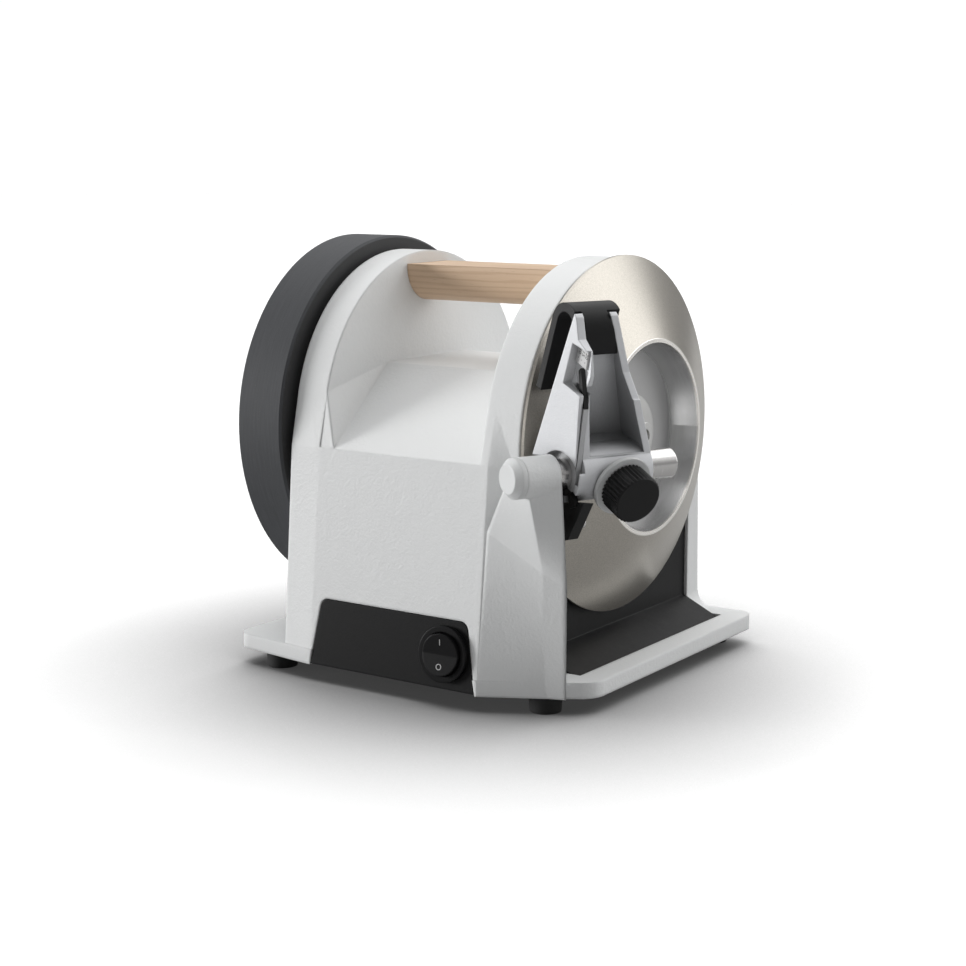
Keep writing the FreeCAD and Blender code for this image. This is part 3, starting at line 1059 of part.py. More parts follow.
housing()
front_panel()
rocker_switch()
dust_tray()
handle()
handle_screws()
bottom_and_feet()
spindle_and_wheels()
bearings()
gears()
motor()
electrics()
guide_axle()
angle_lever()
guide_body()
scale_plate()
blade_clip()
angle_knob()

doc.recompute()
failed = [item.Label for item in doc.Objects if {"Invalid", "Error"} & set(item.State)]
failed += [item.Label for item in nodes if item.Shape.isNull() or not item.Shape.isValid() or not item.Shape.Solids]
if failed:
    raise RuntimeError(f"not built: {failed}")

os.makedirs("parts", exist_ok=True)
for item in nodes:
    item.Shape.exportStep(f"parts/{item.Label}.step")
print(f"{len(nodes)} nodes, origin of the guide {tuple(round(v, 3) for v in AXLE_POINT)}")
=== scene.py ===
"""Looks of the bench knife sharpener: materials, printed marks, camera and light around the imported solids."""

import json
import math

import bmesh
import bpy
from mathutils import Matrix, Vector
from mathutils.bvhtree import BVHTree


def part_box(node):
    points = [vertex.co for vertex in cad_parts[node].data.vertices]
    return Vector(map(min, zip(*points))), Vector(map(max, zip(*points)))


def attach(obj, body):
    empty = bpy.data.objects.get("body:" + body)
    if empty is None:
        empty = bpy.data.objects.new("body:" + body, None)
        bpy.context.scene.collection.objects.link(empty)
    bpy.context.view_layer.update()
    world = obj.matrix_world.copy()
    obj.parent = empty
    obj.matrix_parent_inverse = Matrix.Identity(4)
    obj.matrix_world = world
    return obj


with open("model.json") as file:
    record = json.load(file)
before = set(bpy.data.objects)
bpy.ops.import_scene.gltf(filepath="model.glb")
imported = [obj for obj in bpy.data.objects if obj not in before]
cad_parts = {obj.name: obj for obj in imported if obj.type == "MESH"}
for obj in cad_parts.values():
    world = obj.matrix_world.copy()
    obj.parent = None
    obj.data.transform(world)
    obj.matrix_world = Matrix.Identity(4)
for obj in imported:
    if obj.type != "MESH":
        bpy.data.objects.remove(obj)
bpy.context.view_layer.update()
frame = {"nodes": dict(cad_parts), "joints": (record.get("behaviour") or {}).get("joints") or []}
NODES = frame["nodes"]
JOINTS = {joint["name"]: joint for joint in frame["joints"]}
SCENE = bpy.context.scene
MM = 0.001


def point_of(joint):
    """A joint's point at rest."""
    return Vector(JOINTS[joint]["pos_m"])


def axis_of(joint):
    """A joint's axis at rest."""
    return Vector(JOINTS[joint]["axis"]).normalized()


def frame_matrix(origin, x_axis, y_axis):
    """A frame at a point with the given first two axes."""
    z_axis = x_axis.cross(y_axis).normalized()
    matrix = Matrix((x_axis, y_axis, z_axis)).transposed().to_4x4()
    matrix.translation = origin
    return matrix


# The spindle's axis, and the guide's leaning frame: x out of the blade, y along the axle, z up the blade
SPINDLE = point_of("spindle_spin")
GUIDE = frame_matrix(point_of("guide_angle"), axis_of("angle_knob_turn"), axis_of("guide_angle"))

# How many rays the rounded edges and the shade in pockets are worked out with
EDGE_SAMPLES, POCKET_SAMPLES = 6, 8


class Tree:
    """Short ways to add nodes to a material or a node group."""

    def __init__(self, tree):
        self.tree = tree

    def set_input(self, socket, value):
        """Link a socket, or set a plain value."""
        if isinstance(value, bpy.types.NodeSocket):
            self.tree.links.new(value, socket)
        else:
            socket.default_value = value

    def add(self, kind, inputs=None, **settings):
        """A new node with its settings and inputs."""
        made = self.tree.nodes.new(kind)
        for key, value in settings.items():
            setattr(made, key, value)
        for key, value in (inputs or {}).items():
            self.set_input(made.inputs[key], value)
        return made

    def math(self, operation, first, second=0.0):
        """A sum on one or two numbers."""
        return self.add("ShaderNodeMath", {0: first, 1: second}, operation=operation).outputs[0]

    def offset(self, vector, origin):
        """Where a point lies, seen from an origin."""
        made = self.add("ShaderNodeVectorMath", {0: vector, 1: origin}, operation="SUBTRACT")
        return made.outputs["Vector"]

    def dot(self, first, second):
        """How far two directions agree."""
        made = self.add("ShaderNodeVectorMath", {0: first, 1: second}, operation="DOT_PRODUCT")
        return made.outputs["Value"]

    def smooth(self, value, low, high):
        """0 below low, 1 above high, smooth between."""
        made = self.add("ShaderNodeMapRange", {"Value": value, "From Min": low, "From Max": high},
                        interpolation_type="SMOOTHSTEP")
        return made.outputs["Result"]

    def scaled(self, value, low, high):
        """A 0 to 1 value spread over another range."""
        made = self.add("ShaderNodeMapRange", {"Value": value, "To Min": low, "To Max": high})
        return made.outputs["Result"]

    def mix(self, factor, first, second):
        """A colour between two colours."""
        made = self.add("ShaderNodeMix", {0: factor, 6: first, 7: second}, data_type="RGBA")
        return made.outputs[2]

    def blend(self, factor, first, second):
        """A number between two numbers."""
        made = self.add("ShaderNodeMix", {0: factor, 2: first, 3: second}, data_type="FLOAT")
        return made.outputs[0]

    def coords(self):
        """A point's place on its own object, in metres."""
        return self.add("ShaderNodeTexCoord").outputs["Object"]

    def stretched(self, vector, scale):
        """Coordinates multiplied axis by axis."""
        return self.add("ShaderNodeMapping", {"Vector": vector, "Scale": scale}).outputs["Vector"]

    def noise(self, vector, scale, detail=2.0, roughness=0.5):
        """Cloudy noise from 0 to 1."""
        made = self.add("ShaderNodeTexNoise", {"Vector": vector, "Scale": scale, "Detail": detail,
                                               "Roughness": roughness})
        return made.outputs["Fac"]

    def rounded(self, edge_width):
        """A normal that rounds the edges by a width."""
        return self.add("ShaderNodeBevel", {"Radius": edge_width}, samples=EDGE_SAMPLES).outputs[0]

    def bump(self, height, strength, distance, edge_width=None):
        """A normal bent by a height, over rounded edges where a width is given."""
        made = self.add("ShaderNodeBump", {"Height": height, "Strength": strength, "Distance": distance})
        if edge_width:
            self.set_input(made.inputs["Normal"], self.rounded(edge_width))
        return made.outputs[0]

    def axial(self, vector, centre):
        """(distance from the spindle's axis, place along it, angle about it)."""
        along, across, up = self.add("ShaderNodeSeparateXYZ", {0: self.offset(vector, centre)}).outputs
        squares = self.math("ADD", self.math("POWER", across, 2.0), self.math("POWER", up, 2.0))
        return self.math("SQRT", squares), along, self.math("ARCTAN2", across, up)


def new_group(name, inputs, outputs):
    """An empty node group with named sockets."""
    group = bpy.data.node_groups.new(name, "ShaderNodeTree")
    for socket, kind, default in inputs:
        made = group.interface.new_socket(socket, in_out="INPUT", socket_type=kind)
        made.default_value = default
    for socket, kind in outputs:
        group.interface.new_socket(socket, in_out="OUTPUT", socket_type=kind)
    tree = Tree(group)
    return group, tree, tree.add("NodeGroupInput").outputs, tree.add("NodeGroupOutput").inputs


FLOAT = "NodeSocketFloat"


def edge_group():
    """How near a surface point is to an edge, broken up by noise; it lightens edges for wear and a painted
    highlight.
    """
    group, tree, given, result = new_group("edge_wear_and_highlight",
                                           [("Width", FLOAT, 0.8 * MM), ("Break Up", FLOAT, 0.5)],
                                           [("Fac", FLOAT)])
    facing = tree.dot(tree.rounded(given["Width"]), tree.add("ShaderNodeNewGeometry").outputs["Normal"])
    edge = tree.smooth(tree.math("SUBTRACT", 1.0, facing), 0.01, 0.25)
    patches = tree.smooth(tree.noise(tree.coords(), 180.0, 3.0), 0.35, 0.65)
    patchy_edge = tree.blend(given["Break Up"], 1.0, patches)
    tree.set_input(result["Fac"], tree.math("MULTIPLY", edge, patchy_edge))
    return group


def grain_group():
    """Fine grain of a paint or a moulded skin, with slow drifts over it."""
    group, tree, given, result = new_group("surface_grain",
                                           [("Scale", FLOAT, 1500.0), ("Drift Scale", FLOAT, 20.0)],
                                           [("Height", FLOAT), ("Drift", FLOAT)])
    place = tree.coords()
    fine = tree.noise(place, given["Scale"], 3.0, 0.6)
    coarse = tree.noise(place, tree.math("MULTIPLY", given["Scale"], 0.3), 1.0)
    tree.set_input(result["Height"], tree.math("ADD", fine, tree.math("MULTIPLY", coarse, 0.5)))
    tree.set_input(result["Drift"], tree.noise(place, given["Drift Scale"], 3.0, 0.55))
    return group


def dust_group():
    """A little dust on faces that look up."""
    group, tree, given, result = new_group("settled_dust", [("Amount", FLOAT, 0.15)], [("Fac", FLOAT)])
    normal = tree.add("ShaderNodeNewGeometry").outputs["Normal"]
    up = tree.smooth(tree.add("ShaderNodeSeparateXYZ", {0: normal}).outputs[2], 0.4, 1.0)
    specks = tree.smooth(tree.noise(tree.coords(), 260.0, 4.0, 0.7), 0.45, 0.75)
    tree.set_input(result["Fac"], tree.math("MULTIPLY", tree.math("MULTIPLY", up, specks), given["Amount"]))
    return group


def painted_pocket_shade_group():
    """Painted shade: colour darkened in corners and pockets, where less light reaches."""
    group, tree, given, result = new_group("painted_pocket_shade",
                                           [("Reach", FLOAT, 30 * MM), ("Amount", FLOAT, 0.5)],
                                           [("Fac", FLOAT)])
    clear = tree.add("ShaderNodeAmbientOcclusion", {"Distance": given["Reach"]}, samples=POCKET_SAMPLES)
    pocket_shade_mask = tree.smooth(tree.math("SUBTRACT", 1.0, clear.outputs["AO"]), 0.12, 0.8)
    tree.set_input(result["Fac"], tree.math("MULTIPLY", pocket_shade_mask, given["Amount"]))
    return group


EDGE, GRAIN, DUST, PAINTED_POCKET_SHADE = edge_group(), grain_group(), dust_group(), painted_pocket_shade_group()


def shade(value):
    """A grey or a colour as four numbers."""
    return (value, value, value, 1.0) if isinstance(value, float) else (*value, 1.0)


def tinted(colour, factor):
    """A colour made darker or lighter, as four numbers."""
    return shade(tuple(min(1.0, part * factor) for part in colour))


def material(name):
    """A new material, its tree and its shader."""
    made = bpy.data.materials.new(name)
    made.use_nodes = True
    tree = Tree(made.node_tree)
    return made, tree, made.node_tree.nodes["Principled BSDF"]


def use_group(tree, group, **inputs):
    """Place a group in a material with its own values."""
    made = tree.add("ShaderNodeGroup", node_tree=group)
    for key, value in inputs.items():
        tree.set_input(made.inputs[key], value)
    return made.outputs


# Colour of settled grinding dust, and how far roughness drifts either way over a surface
DUST_COLOUR, ROUGH_DRIFT = shade((0.55, 0.54, 0.52)), 0.06


def coated(name, colour, rough, grain=1500.0, bump=0.2, edge_light=1.15, metallic=0.0, edge_width=0.8 * MM,
           dust=0.1, drift=0.05, specular=0.5, painted_shade=0.0, reach=30 * MM):
    """Paint or moulded plastic: grain, slow drifts, edges lighter for wear and a painted highlight, a little
    dust, painted shade in pockets.
    """
    made, tree, shader = material(name)
    skin = use_group(tree, GRAIN, Scale=grain)
    edge = use_group(tree, EDGE, Width=edge_width)["Fac"]
    base = tree.mix(skin["Drift"], tinted(colour, 1 - drift), tinted(colour, 1 + drift))
    # Edges lightened in the base colour: part wear, part painted highlight
    base = tree.mix(tree.math("MULTIPLY", edge, 0.6), base, tinted(colour, edge_light))
    if dust:
        base = tree.mix(use_group(tree, DUST, Amount=dust)["Fac"], base, DUST_COLOUR)
    # Painted shade: corners and pockets darkened in the base colour
    if painted_shade:
        pocket_shade_mask = use_group(tree, PAINTED_POCKET_SHADE, Reach=reach, Amount=painted_shade)["Fac"]
        base = tree.mix(pocket_shade_mask, base, tinted(colour, 0.22))
    tree.set_input(shader.inputs["Base Color"], base)
    uneven = tree.scaled(skin["Drift"], rough - ROUGH_DRIFT, rough + ROUGH_DRIFT)
    polished = tree.math("MULTIPLY", edge, 0.1)
    tree.set_input(shader.inputs["Roughness"], tree.math("SUBTRACT", uneven, polished))
    shader.inputs["Metallic"].default_value = metallic
    shader.inputs["Specular IOR Level"].default_value = specular
    tree.set_input(shader.inputs["Normal"], tree.bump(skin["Height"], bump, 0.2 * MM, edge_width))
    return made


def metal(name, colour, rough, streak=(2500.0, 60.0, 60.0), bump=0.1, edge_width=0.5 * MM):
    """Turned or ground steel with fine streaks across one axis."""
    made, tree, shader = material(name)
    place = tree.coords()
    lines = tree.noise(tree.stretched(place, streak), 1.0, 3.0, 0.6)
    smears = tree.noise(place, 60.0, 3.0)
    edge = use_group(tree, EDGE, Width=edge_width)["Fac"]
    base = tree.mix(lines, tinted(colour, 0.88), tinted(colour, 1.08))
    # Edges lightened in the base colour: part wear, part painted highlight
    base = tree.mix(tree.math("MULTIPLY", edge, 0.5), base, tinted(colour, 1.3))
    tree.set_input(shader.inputs["Base Color"], base)
    uneven = tree.scaled(smears, rough - ROUGH_DRIFT, rough + ROUGH_DRIFT)
    tree.set_input(shader.inputs["Roughness"], tree.math("ADD", uneven, tree.math("MULTIPLY", lines, 0.08)))
    shader.inputs["Metallic"].default_value = 1.0
    tree.set_input(shader.inputs["Normal"], tree.bump(lines, bump, 0.05 * MM, edge_width))
    return made


# Radii on the diamond wheel's face: the recess's floor, the recess, and the bright land round it
FLOOR_RADIUS, RECESS_RADIUS = 36.2 * MM, 40.2 * MM
LAND_FROM, LAND_TO = 39.3 * MM, 41.2 * MM


def diamond_material():
    """Wheel: sparkling satin cone, bright land, turned recess wall and a pale painted floor."""
    made, tree, shader = material("diamond_wheel_face")
    place = tree.coords()
    radius, along, angle = tree.axial(place, SPINDLE)
    grit = tree.noise(place, 2600.0, 4.0, 0.7)
    cloud = tree.noise(place, 30.0, 3.0)
    cone = tree.mix(tree.smooth(grit, 0.3, 0.7), shade((0.36, 0.340, 0.303)), shade((0.56, 0.530, 0.480)))
    cone = tree.mix(tree.math("MULTIPLY", cloud, 0.25), cone, shade((0.42, 0.40, 0.36)))
    turned_lines = tree.add("ShaderNodeCombineXYZ", {0: tree.math("MULTIPLY", along, 3000.0),
                                                     1: tree.math("MULTIPLY", angle, 2.0),
                                                     2: tree.math("MULTIPLY", radius, 3000.0)}).outputs[0]
    lines = tree.noise(turned_lines, 1.0, 3.0, 0.6)
    wall = tree.mix(lines, shade(0.52), shade(0.74))
    painted_floor = tree.mix(cloud, shade(0.50), shade(0.58))
    in_recess = tree.math("LESS_THAN", radius, RECESS_RADIUS)
    on_floor = tree.math("LESS_THAN", radius, FLOOR_RADIUS)
    land = tree.math("MULTIPLY", tree.math("GREATER_THAN", radius, LAND_FROM),
                     tree.math("LESS_THAN", radius, LAND_TO))
    base = tree.mix(in_recess, cone, wall)
    base = tree.mix(on_floor, base, painted_floor)
    base = tree.mix(land, base, shade((0.86, 0.84, 0.80)))
    tree.set_input(shader.inputs["Base Color"], base)
    rough = tree.blend(in_recess, tree.scaled(grit, 0.24, 0.36), tree.scaled(lines, 0.20, 0.30))
    rough = tree.blend(on_floor, rough, 0.5)
    tree.set_input(shader.inputs["Roughness"], rough)
    tree.set_input(shader.inputs["Metallic"], tree.blend(on_floor, 0.92, 0.35))
    height = tree.blend(in_recess, grit, tree.math("MULTIPLY", lines, 0.4))
    tree.set_input(shader.inputs["Normal"], tree.bump(height, 0.16, 0.1 * MM))
    return made


# How far in from the honing wheel's edge the rim's lines start, and where they are full
RIM_START, RIM_FULL = 1.4 * MM, 0.5 * MM


def honing_material():
    """Dark composite wheel: fine lines round the rim, a plainer face."""
    made, tree, shader = material("honing_composite_face")
    place = tree.coords()
    radius, along, angle = tree.axial(place, SPINDLE)
    grain = tree.noise(place, 1400.0, 4.0, 0.65)
    cloud = tree.noise(place, 22.0, 4.0, 0.6)
    wheel_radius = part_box("honing_wheel")[1].z - SPINDLE.z
    on_rim = tree.smooth(radius, wheel_radius - RIM_START, wheel_radius - RIM_FULL)
    ring_place = tree.add("ShaderNodeCombineXYZ", {0: tree.math("MULTIPLY", along, 1600.0),
                                                   1: tree.math("MULTIPLY", angle, 5.0)}).outputs[0]
    rings = tree.noise(ring_place, 1.0, 4.0, 0.7)
    face = tree.mix(cloud, shade((0.036, 0.036, 0.037)), shade((0.052, 0.052, 0.053)))
    rim = tree.mix(rings, shade((0.042, 0.044, 0.048)), shade((0.076, 0.079, 0.086)))
    base = tree.mix(on_rim, face, rim)
    specks = tree.math("MULTIPLY", tree.smooth(grain, 0.55, 0.8), 0.35)
    base = tree.mix(specks, base, shade((0.12, 0.12, 0.122)))
    tree.set_input(shader.inputs["Base Color"], base)
    tree.set_input(shader.inputs["Roughness"], tree.scaled(grain, 0.55, 0.75))
    shader.inputs["Specular IOR Level"].default_value = 0.35
    height = tree.math("ADD", grain, tree.math("MULTIPLY", tree.math("MULTIPLY", rings, on_rim), 0.8))
    tree.set_input(shader.inputs["Normal"], tree.bump(height, 0.22, 0.2 * MM))
    return made


def wood_material():
    """Pale close-grained hardwood with arched figure along the bar."""
    made, tree, shader = material("beech_oiled")
    place = tree.coords()
    drift = tree.noise(tree.stretched(place, (7.0, 90.0, 90.0)), 1.0, 3.0, 0.55)
    rings = tree.add("ShaderNodeTexWave", {"Vector": tree.stretched(place, (6.0, 75.0, 75.0)), "Scale": 1.6,
                                           "Distortion": 9.0, "Detail": 3.0, "Detail Scale": 1.1,
                                           "Detail Roughness": 0.55}, wave_type="RINGS", rings_direction="X")
    arches = tree.smooth(rings.outputs["Fac"], 0.55, 1.0)
    fibres = tree.noise(tree.stretched(place, (60.0, 2600.0, 2600.0)), 1.0, 3.0, 0.6)
    pores = tree.smooth(tree.noise(tree.stretched(place, (220.0, 3200.0, 3200.0)), 1.0, 2.0), 0.64, 0.74)
    base = tree.mix(drift, shade((0.60, 0.40, 0.255)), shade((0.74, 0.545, 0.375)))
    base = tree.mix(tree.math("MULTIPLY", arches, 0.42), base, shade((0.47, 0.285, 0.165)))
    base = tree.mix(tree.math("MULTIPLY", fibres, 0.30), base, shade((0.82, 0.64, 0.46)))
    base = tree.mix(tree.math("MULTIPLY", pores, 0.35), base, shade((0.36, 0.21, 0.12)))
    tree.set_input(shader.inputs["Base Color"], base)
    tree.set_input(shader.inputs["Roughness"], tree.scaled(fibres, 0.42, 0.58))
    height = tree.math("SUBTRACT", fibres, tree.math("MULTIPLY", pores, 0.8))
    tree.set_input(shader.inputs["Normal"], tree.bump(height, 0.12, 0.1 * MM, edge_width=1.2 * MM))
    return made


# The lever's plated arm: its ends along the blade, seen from the axle, and how soon plating turns to black
ARM_LOW, ARM_HIGH, ARM_FADE = -4.0 * MM, 29.6 * MM, 0.6 * MM


def lever_material():
    """Sheet lever: plated along the arm, black at the pointer and at the foot."""
    made, tree, shader = material("lever_two_tone")
    place = tree.coords()
    rise = tree.dot(tree.offset(place, GUIDE.translation), GUIDE.col[2].to_3d())
    plated = tree.math("MULTIPLY", tree.smooth(rise, ARM_LOW, ARM_LOW + ARM_FADE),
                       tree.smooth(rise, ARM_HIGH, ARM_HIGH - ARM_FADE))
    grain = tree.noise(place, 1500.0, 3.0, 0.6)
    # Painted shade: the plated arm darkened in corners and pockets
    pocket_shade_mask = use_group(tree, PAINTED_POCKET_SHADE, Reach=30 * MM, Amount=0.5)["Fac"]
    bright = tree.mix(grain, shade((0.50, 0.505, 0.515)), shade((0.60, 0.605, 0.615)))
    bright = tree.mix(pocket_shade_mask, bright, shade(0.15))
    black = tree.mix(grain, shade(0.008), shade(0.014))
    tree.set_input(shader.inputs["Base Color"], tree.mix(plated, black, bright))
    tree.set_input(shader.inputs["Roughness"], tree.scaled(grain, 0.40, 0.52))
    tree.set_input(shader.inputs["Metallic"], tree.math("MULTIPLY", plated, 0.3))
    shader.inputs["Specular IOR Level"].default_value = 0.25
    tree.set_input(shader.inputs["Normal"], tree.bump(grain, 0.15, 0.1 * MM))
    return made


# Each coat's edge lightening is part wear, part painted highlight; the housing and the guide also get painted
# shade in pockets
WHITE = coated("white_powder_coat", (0.80, 0.81, 0.81), rough=0.5, grain=780.0, bump=0.80, edge_light=1.06,
               edge_width=1.6 * MM, dust=0.0, drift=0.02, painted_shade=0.22, reach=35 * MM)
SILVER = coated("silver_guide_paint", (0.76, 0.77, 0.79), rough=0.42, bump=0.35, metallic=0.15,
                edge_width=0.7 * MM, painted_shade=0.8)
BLACK = coated("black_moulding", (0.010, 0.010, 0.0105), rough=0.46, grain=2200.0, edge_light=2.2,
               edge_width=0.6 * MM, dust=0.01, specular=0.22)
TRAY = coated("dark_tray_coat", (0.010, 0.010, 0.0105), rough=0.46, grain=1900.0, bump=0.22, edge_light=2.4,
              edge_width=0.7 * MM, dust=0.01, specular=0.14)
SWITCH = coated("switch_gloss", (0.008, 0.008, 0.0085), rough=0.36, grain=2600.0, bump=0.08, edge_light=3.0,
                dust=0.0, specular=0.12)
RUBBER = coated("foot_rubber", (0.012, 0.012, 0.012), rough=0.75, bump=0.3, edge_light=1.6, dust=0.05)
PALE = coated("pale_moulding", (0.70, 0.71, 0.71), rough=0.42, grain=2200.0, bump=0.12, edge_light=1.1,
              edge_width=0.9 * MM, dust=0.0)
SCALE = coated("scale_enamel", (0.58, 0.58, 0.58), rough=0.45, grain=2600.0, bump=0.1, edge_light=1.1,
               dust=0.0)
MARK = coated("mark_print", (0.62, 0.62, 0.62), rough=0.55, grain=2600.0, bump=0.05, edge_light=1.0, dust=0.0)
INK = coated("scale_ink", (0.03, 0.03, 0.032), rough=0.6, grain=2600.0, bump=0.05, edge_light=1.0, dust=0.0)
STEEL = metal("turned_steel", (0.62, 0.62, 0.61), rough=0.26)
GROUND = metal("ground_axle", (0.66, 0.65, 0.64), rough=0.2, streak=(1500.0, 1500.0, 40.0))
GEAR = metal("gear_steel", (0.42, 0.42, 0.42), rough=0.38)
CAST = metal("cast_aluminium", (0.58, 0.58, 0.59), rough=0.45, streak=(400.0, 400.0, 400.0), bump=0.2)
COPPER = metal("varnished_copper", (0.55, 0.24, 0.10), rough=0.35, streak=(40.0, 1800.0, 1800.0), bump=0.3)
DIAMOND, HONING, WOOD, LEVER = diamond_material(), honing_material(), wood_material(), lever_material()

# The finish of each node; the rest is turned steel
FINISH = {
    "housing": WHITE, "axle_cap": PALE, "guide_body": SILVER, "handle": WOOD, "feet": RUBBER,
    "honing_wheel": HONING, "diamond_wheel": DIAMOND, "dust_tray": TRAY, "front_panel": TRAY,
    "switch_body": SWITCH, "switch_rocker": SWITCH, "blade_clip": BLACK, "angle_lever": LEVER,
    "angle_knob": BLACK, "knob_collar": PALE, "scale_plate": SCALE, "guide_axle": GROUND, "stop_pin": GROUND,
    "terminal_block": BLACK, "cable_gland": BLACK, "capacitor": BLACK, "bottom_cover": TRAY,
    "layshaft_gear": BLACK, "spindle_gear": GEAR, "motor_pinion": GEAR, "motor_can": CAST,
    "motor_cap_drive": CAST, "motor_cap_rear": CAST, "stator_windings": COPPER,
}
for name, thing in NODES.items():
    thing.data.materials.clear()
    thing.data.materials.append(FINISH.get(name, STEEL))


def on_surface(node, start, towards, across):
    """A frame where a ray meets a node's surface: x across, z out of the surface."""
    mesh = NODES[node].data
    faces = BVHTree.FromPolygons([v.co for v in mesh.vertices], [p.vertices for p in mesh.polygons])
    place, normal, _, _ = faces.ray_cast(start, towards)
    across = (across - normal * across.dot(normal)).normalized()
    return frame_matrix(place, across, normal.cross(across))


def box_in(node, matrix):
    """Lowest and highest corner of a node, in another frame."""
    points = [matrix.inverted() @ v.co for v in NODES[node].data.vertices]
    return [Vector(pick(p[i] for p in points) for i in range(3)) for pick in (min, max)]


# How far print stands proud of its surface
PRINT_PROUD = 0.03 * MM


def printed(name, sign, place, height, body, finish):
    """A printed sign, a hair proud of the surface, centred on a place."""
    curve = bpy.data.curves.new(name, "FONT")
    curve.body = sign
    curve.size = height
    curve.align_x, curve.align_y = "CENTER", "CENTER"
    curve.extrude = PRINT_PROUD
    curve.materials.append(finish)
    thing = bpy.data.objects.new(name, curve)
    SCENE.collection.objects.link(thing)
    thing.matrix_world = place
    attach(thing, body)


def scale_marks():
    """Three angles printed sideways on the scale plate, with a tick under each."""
    number_drop, tick_drop, height, stand_off = 2.6 * MM, 5.4 * MM, 2.4 * MM, 10 * MM
    low, high = box_in("scale_plate", GUIDE)
    along_axle, down = GUIDE.col[1].to_3d(), -GUIDE.col[2].to_3d()
    spacing = (high.x - low.x) * 0.30
    for i, sign in enumerate(("10", "15", "20")):
        x = (low.x + high.x) / 2 + (i - 1) * spacing
        for name, mark, drop in (("angle", sign, number_drop), ("tick", "-", tick_drop)):
            start = GUIDE @ Vector((x, low.y - stand_off, high.z - drop))
            place = on_surface("scale_plate", start, along_axle, down)
            printed(f"{name}_{sign}", mark, place, height, "guide", INK)


def switch_marks():
    """On above and off below, on the rocker's two slopes."""
    height, stand_off = 3.6 * MM, 20 * MM
    low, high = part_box("switch_rocker")
    from_middle = (high.x - low.x) * 0.26
    front_faces = [face for face in NODES["front_panel"].data.polygons if face.normal.y < -0.9]
    facing = sum((face.normal * face.area for face in front_faces), Vector()).normalized()
    across = Vector((1, 0, 0))
    up = facing.cross(across)
    for name, sign, side in (("on", "I", 1), ("off", "O", -1)):
        start = point_of("switch_rock") + up * side * from_middle + facing * stand_off
        place = on_surface("switch_rocker", start, -facing, across)
        printed(f"switch_{name}", sign, place, height, "rocker", MARK)


scale_marks()
switch_marks()

# Camera: where the photograph was taken from. It aims left of the diamond wheel's back, below the spindle
IMAGE_PX, FOCAL_PX, SENSOR_MM = 966, 1900.0, 36.0
AZIMUTH, ELEVATION, DISTANCE = math.radians(34.31), math.radians(10.07), 0.843
AIM_LEFT, AIM_BELOW = 69.1 * MM, 27.88 * MM
TARGET = Vector((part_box("diamond_wheel")[0].x - AIM_LEFT, SPINDLE.y, SPINDLE.z - AIM_BELOW))
BACK = Vector((math.sin(AZIMUTH) * math.cos(ELEVATION), -math.cos(AZIMUTH) * math.cos(ELEVATION),
               math.sin(ELEVATION)))
camera = bpy.data.objects.new("camera", bpy.data.cameras.new("camera"))
SCENE.collection.objects.link(camera)
camera.data.sensor_width = SENSOR_MM
camera.data.lens = FOCAL_PX / IMAGE_PX * SENSOR_MM
camera.location = TARGET + BACK * DISTANCE
camera.rotation_mode = "QUATERNION"
camera.rotation_quaternion = (-BACK).to_track_quat("-Z", "Y")
camera.data.clip_start, camera.data.clip_end = 0.01, 50.0
SCENE.camera = camera


def sun(name, towards_light, strength, spread, only=None):
    """A far soft light; the spread in degrees is how wide it looks. It may light one object only."""
    data = bpy.data.lights.new(name, "SUN")
    data.energy = strength
    data.angle = math.radians(spread)
    thing = bpy.data.objects.new(name, data)
    SCENE.collection.objects.link(thing)
    thing.rotation_mode = "QUATERNION"
    thing.rotation_quaternion = Vector(towards_light).to_track_quat("Z", "Y")
    if only:
        thing.light_linking.receiver_collection = bpy.data.collections.new(name)
        thing.light_linking.receiver_collection.objects.link(only)


# Floor: half its width, how pale the camera and other rays see it, its glow, and the machine's shade painted
# into its colour
FLOOR_HALF = 6.0
PALE_TO_CAMERA, PALE_TO_OBJECT, FLOOR_GLOW = 0.218, 0.07, 0.04
SHADE_REACH, SHADE_POWER = 0.13, 1.8


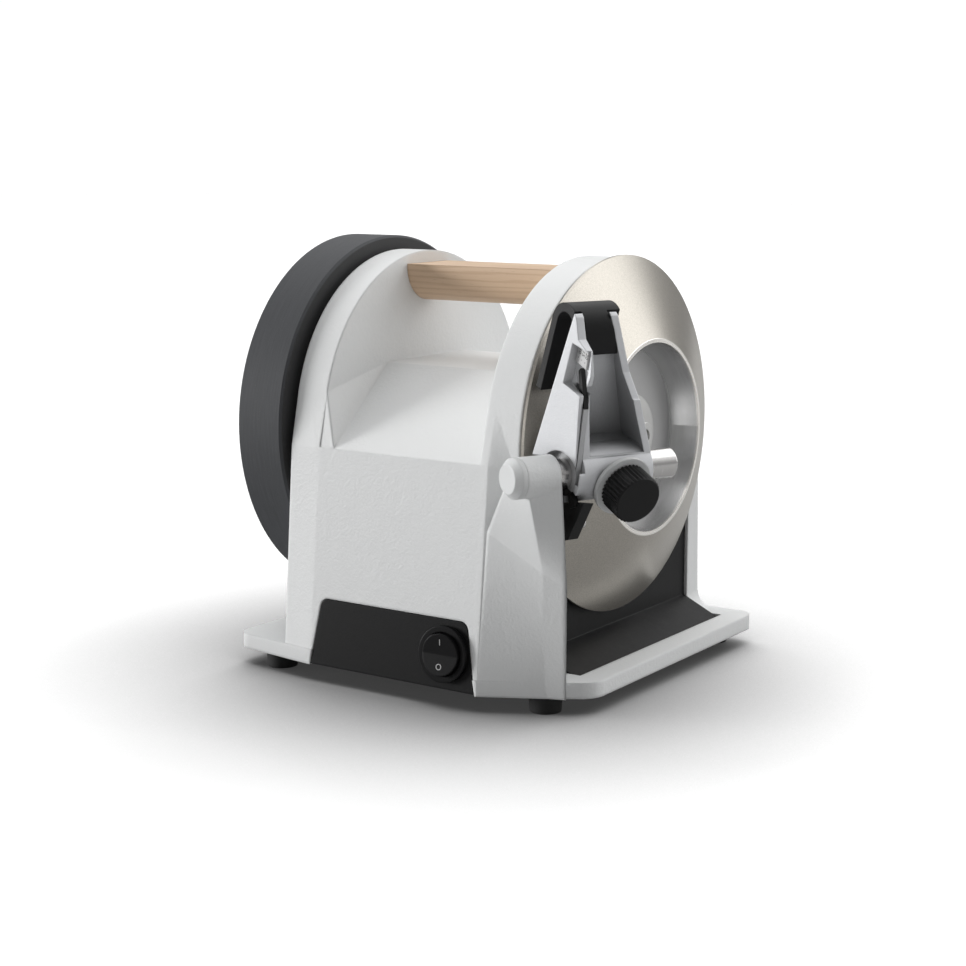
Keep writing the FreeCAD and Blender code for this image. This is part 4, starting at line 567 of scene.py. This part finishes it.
def floor():
    """Plain pale floor with the machine's shade painted into its colour, brighter to the camera than in what it
    reflects on the object.
    """
    mesh = bpy.data.meshes.new("floor")
    builder = bmesh.new()
    bmesh.ops.create_grid(builder, x_segments=1, y_segments=1, size=FLOOR_HALF)
    builder.to_mesh(mesh)
    builder.free()
    thing = bpy.data.objects.new("floor", mesh)
    SCENE.collection.objects.link(thing)
    made, tree, shader = material("pale_floor")
    shader.inputs["Roughness"].default_value = 0.9
    shader.inputs["Emission Color"].default_value = shade(1.0)
    shader.inputs["Emission Strength"].default_value = FLOOR_GLOW
    speckle = tree.noise(tree.coords(), 40.0, 2.0)
    seen = tree.add("ShaderNodeLightPath").outputs["Is Camera Ray"]
    # Painted shadow: the floor's colour darkened near the machine, by how closely it is hemmed in
    clear = tree.add("ShaderNodeAmbientOcclusion", {"Distance": SHADE_REACH}, samples=POCKET_SAMPLES)
    shown = tree.math("MULTIPLY", tree.math("POWER", clear.outputs["AO"], SHADE_POWER), PALE_TO_CAMERA)
    pale = tree.math("MULTIPLY", tree.scaled(speckle, 0.99, 1.01), tree.blend(seen, PALE_TO_OBJECT, shown))
    grey = tree.add("ShaderNodeCombineColor", {0: pale, 1: pale, 2: pale}).outputs[0]
    tree.set_input(shader.inputs["Base Color"], grey)
    mesh.materials.append(made)
    return thing


# World: where the soft box is, the cosines of its edge and core, and how bright box, room and backdrop are
SOFT_BOX = Vector((0.64, 0.68, 0.36)).normalized()
BOX_EDGE, BOX_CORE, BOX_STRENGTH = 0.86, 0.975, 2.0
ROOM, ROOM_IN_GLOSS, BACKDROP = 0.20, 0.26, 1.02


def studio_world():
    """White behind the object; what lights it is a dim room with one soft box behind it on the right."""
    world = bpy.data.worlds.new("studio")
    SCENE.world = world
    world.use_nodes = True
    sky = Tree(world.node_tree)
    background = world.node_tree.nodes["Background"]
    towards = sky.add("ShaderNodeTexCoord").outputs["Generated"]
    glow = sky.math("MULTIPLY", sky.smooth(sky.dot(towards, SOFT_BOX), BOX_EDGE, BOX_CORE), BOX_STRENGTH)
    rays = sky.add("ShaderNodeLightPath").outputs
    lit = sky.math("ADD", glow, sky.blend(rays["Is Glossy Ray"], ROOM, ROOM_IN_GLOSS))
    background.inputs["Color"].default_value = shade(1.0)
    shown = sky.math("MAXIMUM", rays["Is Camera Ray"], rays["Is Transmission Ray"])
    sky.set_input(background.inputs["Strength"], sky.blend(shown, lit, BACKDROP))


# Light: a wide lamp overhead, a key lamp from the left, and a wash that falls on the floor alone
ground = floor()
studio_world()
sun("overhead", (-0.08, 0.34, 1.0), strength=2.3, spread=90.0)
sun("key_left", (-0.87, -0.48, 0.08), strength=2.85, spread=24.0)
sun("floor_wash", (0.0, 0.40, 1.0), strength=11.6, spread=100.0, only=ground)

SCENE.view_settings.view_transform = "Standard"
